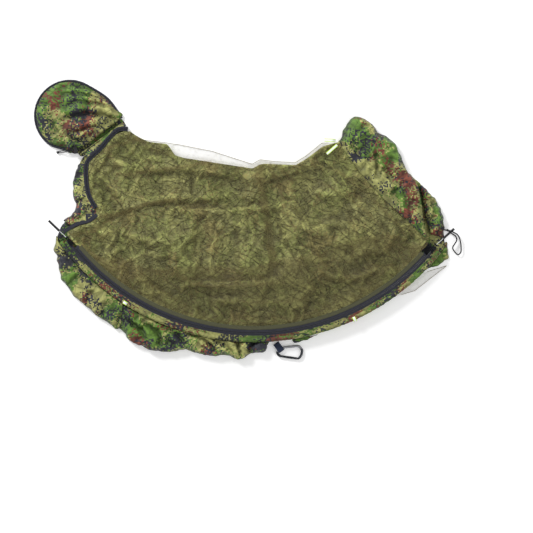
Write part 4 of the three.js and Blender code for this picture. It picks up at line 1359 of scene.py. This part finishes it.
def net_hem(name, sheet, heights, kept):
    """The thin rolled hem along the kept part of a net's rim."""
    first_left_out = int(np.argmin(kept))
    rim = np.roll(sheet.rim, -first_left_out, axis=0)[np.roll(kept, -first_left_out)]
    nearest = [int(np.argmin(np.linalg.norm(sheet.plan - point, axis=1))) for point in rim]
    line = resample(smooth(np.column_stack([rim, heights[nearest]])), 2 * MM)
    swept(name, line, section(0.6 * MM, 8), HEM, SACK)


def net_rim(rim):
    """The net's edge: sewn to the zips, under the foot panel, and drawn out into both ends of the zip."""
    return drawn_out(to_zips(5.5, 44)(under_foot_panel(8, 28)(rim)))


NET_SPACING = 6.5 * MM
OVER_LINING = 1.2 * MM
TOP_EDGE = {"left": -370 * MM, "right": 250 * MM, "low": 200 * MM}  # where the net's rim isn't sewn down


def net_layers(sheet, lower, beyond):
    """How many layers of net lie over the first: more below the hanging edge and along pleats."""
    p = sheet.plan
    layers = np.clip(lower / (5 * MM), 0, 1) * 1.9
    for line, width, _, extra in NET_PLEATS:
        away, _ = line_distance(p, smooth(mm(line)))
        layers = layers + 2.0 * extra * np.clip((width * MM * 0.8 - away) / (3 * MM), 0, 1)
    layers += 0.5 * np.clip(1 - (sheet.edge_distance / (9 * MM)), 0, 1)
    layers += 0.8 * np.clip(creases(p, 70 * MM, 54) - 0.6, 0, 1) * np.clip(creases(p, 170 * MM, 55), 0, 1)
    lace = 0.5 * np.clip(1 - sheet.edge_distance / (3.5 * MM), 0, 1)
    on_floor = -0.68 + lace + 1.6 * np.clip(creases(p, 26 * MM, 56) - 0.66, 0, 1)
    return np.where(beyond, on_floor, layers)


def insect_net():
    """The net's upper half and its door as one sheet that rests on the lining and reaches the zip."""
    sheet = Sheet(net_outline(), NET_SPACING, 21, net_rim)
    p, rim = sheet.plan, sheet.rim
    raster_low, raster = lining_raster()
    rest_on = sample_grid(raster, (p - raster_low) / RASTER) + OVER_LINING
    lining = lining_rim(resample(outline_of("inner_lining"), NET_SPACING, closed=True))
    beyond = ~inside(p, lining) & (p[:, 1] > TOP_EDGE["low"])
    gap = line_distance(p, lining, closed=True)[0]
    at_top = (rim[:, 1] > TOP_EDGE["low"]) & (rim[:, 0] > TOP_EDGE["left"]) & (rim[:, 0] < TOP_EDGE["right"])
    to_fixed = np.min(np.linalg.norm(p[:, None, :] - rim[~at_top][None, :, :], axis=2), axis=1)
    tight = np.exp(-((to_fixed / (26 * MM)) ** 1.5))
    loose = 1 - tight
    lower = np.interp(p[:, 0], LOWER_NET[:, 0], LOWER_NET[:, 1]) - p[:, 1]
    hangs = np.clip(lower / (60 * MM), 0, 1)
    by_corner = np.exp(-((line_distance(p, CORNER_ZIP[:, :2])[0] / (30 * MM)) ** 2))
    edge_z = ZIP_Z - (ZIP_Z - CORNER_ZIP[0][2] + 0.9 * MM) * by_corner
    z = (rest_on + hangs * 3.0 * MM) * loose + edge_z * tight
    z += loose * folds_height(p, [pleat[:3] for pleat in NET_PLEATS])
    z += loose * (1.2 * MM * creases(p, 46 * MM, 51) + 0.6 * MM * waves(p, 22 * MM, 52))
    on_floor = 1.6 * MM + 25 * MM * np.exp(-((gap / (7 * MM)) ** 1.4)) + 1.4 * MM * creases(p, 24 * MM, 53)
    z = np.where(beyond, on_floor, z)
    net = make("insect_net", np.column_stack([p, z]), sheet.faces, NET, None, fabric=p * 1.03)
    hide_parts("net_upper", "net_door")
    set_attribute(net, "layers", net_layers(sheet, lower, beyond))
    # the net's material darkens where it hangs: painted shade
    set_attribute(net, "hang", hangs)
    crumple(net, sheet.on_rim | (tight > 0.85), 0.035, steps=10, cap=4)
    settled = coordinates(net)
    settled[:, 2] = np.maximum(settled[:, 2], np.where(beyond, OVER_LINING, rest_on * loose))
    set_coordinates(net, settled)
    hemmed = at_top & (rim[:, 0] > TOP_EDGE["left"] + 2 * MM)
    net_hem("net_top_hem", sheet, settled[:, 2], hemmed)
    subdivide(net)
    mark_relief(net, full=2.2)
    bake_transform(net)


def net_binding():
    """The bias binding that holds the net to the zip, sewn twice."""
    start, end = arc_ends("net_binding")
    inner, outer = radius_of(weld("net_binding")[0]).min(), ZIP_RADIUS - 9 * MM
    middle, half = (outer + inner) / 2, (outer - inner) / 2
    path = arc_path(middle, start, end, ZIP_Z + 0.4 * MM, step=0.4)
    binding = swept("net_binding", path, strap_profile(half, 0.9 * MM), BINDING, "net_door", level=True)
    puckered(binding, 0.22, 12, 55)
    radii = (middle + half - 1.4 * MM, middle - half + 1.4 * MM)
    seams = [arc_path(radius, start, end, ZIP_Z + 1.3 * MM, step=0.25) for radius in radii]
    stitching("binding_stitches", seams, "net_door")


def net_tail():
    sheet = Sheet(outline_of("net_tail"), 4 * MM, 23)
    p = sheet.plan
    z = 1.0 * MM + 1.6 * MM * creases(p, 26 * MM, 57) + 0.6 * MM * waves(p, 14 * MM, 58)
    near_sleeve = radius_of(p) - SLEEVE_LINE - SLEEVE_RADIUS
    z += 12 * MM * np.exp(-((near_sleeve / (9 * MM)) ** 2))
    tail = make("net_tail", np.column_stack([p, z]), sheet.faces, NET, None, fabric=p * 1.05)
    edge = 0.45 * np.clip(1 - sheet.edge_distance / (4 * MM), 0, 1)
    set_attribute(tail, "layers", edge + 0.35 * (creases(p, 40 * MM, 59) > 0.7) - 0.45)
    net_hem("net_tail_hem", sheet, z, radius_of(sheet.rim) > SLEEVE_LINE + SLEEVE_RADIUS + 7 * MM)
    subdivide(tail)
    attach(tail, SACK)


hoop()
side_wall()
sleeve_hem()
arc_zip("shell_side", 1, SACK)
arc_zip("net_side", -1, "net_door")
head_zips()
insect_net()
net_binding()
net_tail()


# ---------------------------------------------------------------- hood
HOOD = "hood"
HOOD_FOLDS = [  # they run out from the seam's right end
    ([(-412, 368), (-469, 390), (-526, 394), (-601, 380)], 11, 12),
    ([(-408, 357), (-469, 374), (-530, 376), (-596, 362)], 8, -13),
    ([(-420, 384), (-480, 415), (-548, 424), (-612, 414)], 12, 9),
    ([(-430, 402), (-480, 434), (-547, 448), (-600, 444)], 9, 7),
    ([(-420, 374), (-470, 402), (-540, 409)], 6, -9), ([(-425, 394), (-480, 425), (-540, 436)], 5, -6),
    ([(-426, 352), (-500, 350), (-572, 336)], 10, 8), ([(-440, 342), (-500, 326), (-560, 304)], 8, 6),
    ([(-430, 346), (-500, 338), (-560, 320)], 5, -6),
    ([(-450, 414), (-500, 450), (-550, 468)], 7, -6), ([(-560, 262), (-580, 300), (-610, 330)], 8, 6),
    ([(-510, 262), (-540, 290), (-580, 310)], 6, -5), ([(-628, 360), (-610, 330), (-580, 300)], 7, -4),
]
HOOD_CROWN = 19 * MM
SEAM_AXIS = np.array(JOINTS["hood_fold"]["axis"])
SEAM_PIVOT = joint_place("hood_fold")
SEAM_ACROSS = np.array([SEAM_AXIS[1], -SEAM_AXIS[0], 0])
SEAM_ACROSS *= np.sign(SEAM_ACROSS @ (np.array([ARC_CENTRE[0], 0, 0]) - SEAM_PIVOT))
SEAM_ROOM = ([0, 8, 24, 58], [0.5, 1.8, 1.8, 30.0])  # mm from the seam, mm the hood may rise over it


def low_at_seam(piece):
    """Keeps the hood's cloth low near the neck seam, so that it clears the head zip when it folds over."""
    co = coordinates(piece)
    away = (SEAM_PIVOT - co) @ SEAM_ACROSS / MM
    co -= np.outer(np.maximum(1.2 - away, 0) * MM, SEAM_ACROSS)
    ceiling = SEAM_PIVOT[2] + np.interp(away, *SEAM_ROOM) * MM
    co[:, 2] = np.minimum(co[:, 2], ceiling)
    set_coordinates(piece, co)


def hood_cloth(name, low, edge_z, crown, folds, seed, top):
    """A domed sheet sewn into the hood's piping: from edge_z up to crown, closed down to low."""
    outline = resample(smooth(outline_of(name), closed=True, per_span=4), 3 * MM, closed=True)
    middle = outline.mean(0)
    outward = outline - middle
    outline = outline + outward / np.linalg.norm(outward, axis=1)[:, None] * 2.6 * MM
    sheet = Sheet(outline, 5 * MM, seed)
    p = sheet.plan
    dome = np.clip(sheet.edge_distance / (45 * MM), 0, 1)
    z = edge_z + (crown - edge_z) * np.sqrt(1 - (1 - dome) ** 2)
    free = np.clip(sheet.edge_distance / (14 * MM), 0, 1)
    z += free * (folds_height(p, folds) + 1.5 * MM * waves(p, 60 * MM, seed + 1)
                 + 1.6 * MM * creases(p, 48 * MM, seed + 2, direction=1.9, spread=0.6))
    growth = 0.06
    piece = make(name, np.column_stack([p, z]), sheet.faces, SHELL, None, fabric=p * (1 + growth) + 1.9)
    crumple(piece, sheet.on_rim, growth, steps=10, cap=7)
    keep_between(piece, min(edge_z, low), top)
    low_at_seam(piece)
    subdivide(piece)
    mark_relief(piece)
    close_down(piece, low)
    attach(piece, HOOD)


def hood():
    back_low, back_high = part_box("hood_back")
    front_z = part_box("hood_front")[0].z
    hood_cloth("hood_front", front_z - 0.4 * MM, front_z + 1.4 * MM, HOOD_CROWN, HOOD_FOLDS, 61,
               HOOD_CROWN + 14 * MM)
    hood_cloth("hood_back", back_low.z, back_high.z - 1.2 * MM, back_high.z, [], 66,
               back_high.z + 2 * MM)
    rim = resample(smooth(tube_line("hood_wire", 5), per_span=3), 3 * MM)
    swept("hood_wire", rim, section(1.3 * MM, 10), STEEL, HOOD)
    pipe_low, pipe_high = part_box("hood_piping")
    piping = swept("hood_piping", rim, section((pipe_high.z - pipe_low.z) / 2 - 0.2 * MM, 14), PIPING, HOOD)
    puckered(piping, 0.18, 9, 63)


HINGE_SECTION = [(-13, 1.2), (-8, 1.0), (-3, 0.9), (0, 0.9), (4, 0.9), (9, 1.0), (13, 1.2)]  # mm: across, up
HINGE_THICK = 1.1 * MM


def hood_hinge():
    """The cloth under the neck seam, where the hood folds, with a welt and stitches beside it."""
    line = SEAM_PIVOT + SEAM_AXIS * np.linspace(4 * MM, 177 * MM, 60)[:, None]
    along = np.linspace(0, 1, len(line))
    taper = 0.55 + 0.45 * np.sqrt(np.clip(np.minimum(along, 1 - along) / 0.05, 0, 1))
    rows = [line + np.outer(taper * a * MM, SEAM_ACROSS) + (0, 0, h * MM - SEAM_PIVOT[2])
            for a, h in HINGE_SECTION]
    upper = [row + (0, 0, HINGE_THICK) for row in rows[::-1]]
    rings = np.stack(rows + upper, axis=1)
    n, m = rings.shape[:2]
    points = rings.reshape(-1, 3)
    faces = [(i * m + j, i * m + (j + 1) % m, (i + 1) * m + (j + 1) % m, (i + 1) * m + j)
             for i in range(n - 1) for j in range(m)]
    faces += [tuple(range(m))[::-1], tuple((n - 1) * m + j for j in range(m))]
    hinge = make("hood_seam_cloth", points, faces, SHELL, None, fabric=points[:, :2])
    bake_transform(hinge)
    seam = SEAM_PIVOT + SEAM_AXIS * np.linspace(6 * MM, 172 * MM, 60)[:, None]
    welt = seam + SEAM_ACROSS * 4 * MM + (0, 0, -0.6 * MM)
    swept("neck_welt", welt, section(1.7 * MM, 10), LINING, SACK)
    stitching("neck_stitches", [seam + SEAM_ACROSS * 8.5 * MM + (0, 0, 0.4 * MM)], SACK)


# ---------------------------------------------------------------- drawcord and its lock
def knot_on(name, centre, radius, body, turn=0.0):
    """An overhand knot pulled tight: a trefoil of cord."""
    cord = 1.5 * MM
    t = np.linspace(0, 2 * math.pi, 72, endpoint=False)
    x, y = np.sin(t) + 2 * np.sin(2 * t), np.cos(t) - 2 * np.cos(2 * t)
    shape = np.column_stack([x, y, -1.5 * np.sin(3 * t)])
    shape *= (radius - cord) / 3.0
    c, s = math.cos(turn), math.sin(turn)
    shape = shape @ np.array([[c, s, 0], [-s, c, 0], [0, 0, 1]])
    swept(name, shape + centre, section(cord, 10), BLACK_CORD, body, closed=True)


def finish_cad(node, material, bevel):
    """A hard CAD piece keeps its shape; its edges are eased by bevel mm and it gets its finish."""
    piece = frame["nodes"][node]
    piece.data.materials.clear()
    piece.data.materials.append(material)
    step = piece.modifiers.new("eased_edges", "BEVEL")
    step.width = bevel * MM
    step.segments = 3
    step.limit_method = "ANGLE"
    step.angle_limit = math.radians(35)
    step.harden_normals = True


def drawcord():
    low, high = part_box("drawcord_knot")
    knot = np.array((low + high) / 2)
    for strand in ("a", "b"):
        node = f"drawcord_strand_{strand}"
        line = tube_line(node, 6)
        if np.linalg.norm(line[0] - knot) < np.linalg.norm(line[-1] - knot):
            line = line[::-1]
        line = resample(smooth(np.vstack([line, knot]), per_span=3), 1 * MM)
        swept(node, line, section(1.35 * MM, 12), BLACK_CORD, HOOD)
    knot_on("drawcord_knot", knot, (high.z - low.z) / 2 + 0.8 * MM, HOOD)
    finish_cad("cord_lock_body", PLASTIC, 0.7)
    finish_cad("cord_lock_button", PLASTIC, 0.5)
    coil_line = tube_line("cord_lock_spring", 5)
    coil_line = resample(smooth(coil_line, per_span=4), 0.3 * MM)
    spring = swept("cord_lock_spring", coil_line, section(0.25 * MM, 8), STEEL, "cord_lock")
    pressed = np.array(JOINTS["cord_lock_press"]["axis"], float)
    along = coil_line @ pressed
    tuple(coil_line[np.argmax(along)])
    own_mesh(spring)


# ---------------------------------------------------------------- sliders and pulls
def zip_pull(side):
    finish_cad(f"slider_{side}", ZIP_METAL, 0.35)
    finish_cad(f"pull_tab_{side}", ZIP_METAL, 0.3)
    body = f"pull_{side}"
    cord = resample(smooth(tube_line(f"pull_cord_{side}", 6), per_span=3), 0.8 * MM)
    swept(f"pull_cord_{side}", cord, section(1.0 * MM, 12), WHITE_CORD, body)
    middle, axis, half = long_axis(f"pull_grip_{side}")
    steps = np.linspace(-1, 1, 151)
    line = middle + axis * (half * steps)[:, None]
    rings = 0.5 + 0.5 * np.cos(2 * math.pi * (steps + 1) * half / (3.2 * MM))
    ends = np.clip((1 - np.abs(steps)) / 0.03, 0, 1)
    collar = np.abs(steps) > 0.86
    size = (3.1 + 0.8 * np.where(collar, 1.0, rings**0.5)) / 4.0 * (0.82 + 0.18 * np.sqrt(ends))
    swept(f"pull_grip_{side}", line, section(4 * MM, 24), GRIP, body, scale=size)
    finish_cad(f"zip_stop_{side}", ZIP_METAL, 0.5)


# ---------------------------------------------------------------- reflective tabs
def reflective_tab(node, curl):
    """A strip of tape folded on itself; curl lists its heights in mm over the CAD strip, base to tip."""
    middle, axis, half = long_axis(node)
    if node.endswith(("left", "right")):
        outward = middle[:2] - ARC_CENTRE
        axis = axis * np.sign(axis[:2] @ outward)
    else:
        axis = axis * (1 if axis[0] < 0 else -1)
    corners = outline_of(node)
    width = np.linalg.norm(np.cross(np.append(corners[0] - corners[1], 0), axis))
    width = max(width, float(np.linalg.norm(np.cross(np.append(corners[1] - corners[2], 0), axis))))
    steps = np.linspace(-1, 1, 4 * len(curl))
    lift = np.interp(steps, np.linspace(-1, 1, len(curl)), curl) * MM
    lift = np.convolve(np.pad(lift, 2, mode="edge"), np.ones(5) / 5, mode="valid")
    line = middle + axis * (half * steps)[:, None] + np.outer(lift, (0, 0, 1))
    profile = strap_profile(width / 2, 0.6 * MM)
    points, faces, _ = sweep(line, profile, level=True)
    along = np.repeat(lengths_along(line), len(profile))
    across = np.tile(profile[:, 0], len(line))
    fabric = np.column_stack([along, across])
    make(node, points, faces, reflective_material(width / 2), SACK, fabric=fabric)


# ---------------------------------------------------------------- carabiner, webbing, foot cord
CARABINER_BEND = [(84, -374), (77, -370), (72.5, -363), (74, -360), (83, -353.5), (92, -347), (98, -345.3),
                  (116, -343.6), (134, -342), (143, -345), (149, -356), (146, -371), (139, -379), (133, -380)]
GATE_OVERHANG = 2.8 * MM  # the gate's forks run past its pivot and its tip by this
FORK_DEPTH = 4.6 * MM
FORK_HALF_SLOT = 1.8 * MM
TONGUE_HALF_THICK = 1.4 * MM


def carabiner():
    """The bent bar with its two flat tongues, and the gate whose forks straddle them."""
    pivot = joint_place("gate_open")
    middle, along, half = long_axis("carabiner_gate")
    along = along * np.sign(along @ (middle - pivot))
    length = 2 * (half - GATE_OVERHANG)

    def gate_path(start, end, count):
        return pivot + along * np.linspace(start, end, count)[:, None]

    line = np.column_stack([mm(CARABINER_BEND), np.full(len(CARABINER_BEND), pivot[2])])
    line = resample(smooth(line), 0.8 * MM)
    reach = (line - pivot) @ along
    radial = np.linalg.norm(line - pivot - reach[:, None] * along, axis=1)
    kept = line[(reach > length + 3.8 * MM) | (reach < -5.6 * MM) | (radial > 5.4 * MM)]
    ends = np.minimum(np.arange(len(kept)), np.arange(len(kept))[::-1])
    round_bar = sweep(kept, section(4 * MM, 20), scale=0.84 + 0.16 * np.sqrt(np.clip(ends / 3, 0, 1)))
    tongues = []
    for start, end in ((-9 * MM, 2.6 * MM), (length - 2.6 * MM, length + 8 * MM)):
        tongue = strap_profile(2.8 * MM, TONGUE_HALF_THICK)
        tongues.append(sweep(gate_path(start, end, 9), tongue, level=True))
    body = make_joined("carabiner_body", [round_bar] + tongues, GUNMETAL, "carabiner")
    points = coordinates(body)
    x, y = points[:, 0], points[:, 1]
    # painted highlight: the spine is brightened in the metal's pale colour, standing in for its reflection
    spine = np.clip((y + 351 * MM) / (3 * MM), 0, 1) * np.clip((x - 88 * MM) / (6 * MM), 0, 1)
    set_attribute(body, "polished", 0.5 * spine)
    radius = 3.8 * MM
    swell = np.linspace(0, 1, 25)
    shaft = gate_path(FORK_DEPTH, length - FORK_DEPTH, len(swell))
    parts = [sweep(shaft, section(radius, 20), scale=0.9 + 0.1 * np.sin(math.pi * swell))]
    start = math.asin(FORK_HALF_SLOT / radius)
    turn = np.linspace(start, math.pi - start, 11)
    cheek = np.column_stack([np.cos(turn), np.sin(turn)]) * radius * 0.98
    fork = FORK_DEPTH + 1 * MM
    for low, high in ((-GATE_OVERHANG, fork), (length - fork, length + GATE_OVERHANG)):
        for upside in (1, -1):
            parts.append(sweep(gate_path(low, high, 7), cheek * upside, level=True))
    make_joined("carabiner_gate", parts, GUNMETAL, "gate")
    finish_cad("gate_pin", STEEL, 0.2)


def webbing_loop():
    bar = joint_place("carabiner_flip")
    axis = np.array(JOINTS["carabiner_flip"]["axis"])
    out = np.array([-axis[1], axis[0], 0])
    low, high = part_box("webbing_loop")
    radius = (high.z - low.z) / 2 - 0.6 * MM
    turn = np.linspace(-math.pi / 2, math.pi / 2, 13)
    span = 20 * MM
    near = [bar + out * (radius * math.cos(a)) + np.array((0, 0, radius * math.sin(a))) for a in turn]
    far = [bar - out * (span + radius * math.cos(a)) - np.array((0, 0, radius * math.sin(a))) for a in turn]
    path = resample(np.array(near + far), 1.5 * MM, closed=True)
    side = np.tile(axis, (len(path), 1))
    up = np.cross(side, headings(path, closed=True))
    swept("webbing_loop", path, strap_profile(9.9 * MM, 0.55 * MM), WEBBING, SACK, closed=True,
          frames=(side, up))
    top = bar + (0, 0, radius + 0.75 * MM)
    rows = [top - out * (k * MM) + axis * np.linspace(-8, 8, 12)[:, None] * MM for k in (9, 13, 17)]
    stitching("webbing_stitches", rows, SACK, DARK_THREAD)


def foot_cord():
    low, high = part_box("foot_cord_knot")
    knot = np.array((low + high) / 2)
    line = resample(smooth(np.vstack([knot, tube_line("foot_cord_loop", 6), knot]), per_span=3), 1.5 * MM)
    swept("foot_cord_loop", line, section(2.0 * MM, 14), BLACK_CORD, "foot_cord")
    root = resample(smooth(knot + mm([(0, 0, 0), (-12, 1.5, 0), (-26, 4, 1)])), 1.5 * MM)
    swept("foot_cord_root", root, section(2.0 * MM, 14), BLACK_CORD, SACK)
    knot_on("foot_cord_knot", knot, (high.z - low.z) / 2, SACK, turn=0.6)


hood()
hood_hinge()
drawcord()
for side in ("left", "right"):
    zip_pull(side)
reflective_tab("reflective_tab_left", (-2.4, -0.4, 0.2, 0.0, -1.4, -3.0))
reflective_tab("reflective_tab_right", (-2.4, -0.3, 0.2, 0.0, -1.2, -2.6, -4.4))
reflective_tab("reflective_tab_foot_a", (0, 3, 5, 4, 2, 1, 2, 0))
reflective_tab("reflective_tab_foot_b", (0, 4, 7, 6, 3, 1, -1, -3))
webbing_loop()
foot_cord()
carabiner()


# ---------------------------------------------------------------- floor, light and camera
def studio():
    plane = bpy.data.meshes.new("studio_floor")
    half = 30.0
    corners = [(-half, -half, 0), (half, -half, 0), (half, half, 0), (-half, half, 0)]
    plane.from_pydata(corners, [], [(0, 1, 2, 3)])
    plane.materials.append(floor_material())
    floor = bpy.data.objects.new("studio_floor", plane)
    bpy.context.scene.collection.objects.link(floor)


def area_light(name, place, size, power):
    light = bpy.data.lights.new(name, "AREA")
    light.size, light.energy = size, power
    lamp = bpy.data.objects.new(name, light)
    lamp.location = place
    lamp.rotation_euler = (Vector((0, 0, 0)) - Vector(place)).to_track_quat("-Z", "Y").to_euler()
    bpy.context.scene.collection.objects.link(lamp)


VIEW_CENTRE = (0.0388, -0.0946)  # what the camera looks straight down on
VIEW_WIDTH = 1.652
VIEW_HEIGHT = 0.020  # the level at which the view is that wide


def light_and_camera():
    scene = bpy.context.scene
    world = bpy.data.worlds.new("studio")
    world.use_nodes = True
    world.node_tree.nodes["Background"].inputs["Color"].default_value = (1, 1, 1, 1)
    world.node_tree.nodes["Background"].inputs["Strength"].default_value = 0.52
    scene.world = world
    area_light("key", (-3.0, 3.6, 3.4), 1.5, 235)
    area_light("fill", (3.0, -1.6, 4.2), 3.0, 60)
    scene.view_settings.view_transform = "Standard"
    camera = bpy.data.cameras.new("camera")
    camera.lens = 110
    eye = bpy.data.objects.new("camera", camera)
    distance = VIEW_WIDTH * camera.lens / camera.sensor_width
    eye.location = (*VIEW_CENTRE, VIEW_HEIGHT + distance)
    scene.collection.objects.link(eye)
    scene.camera = eye


studio()
light_and_camera()
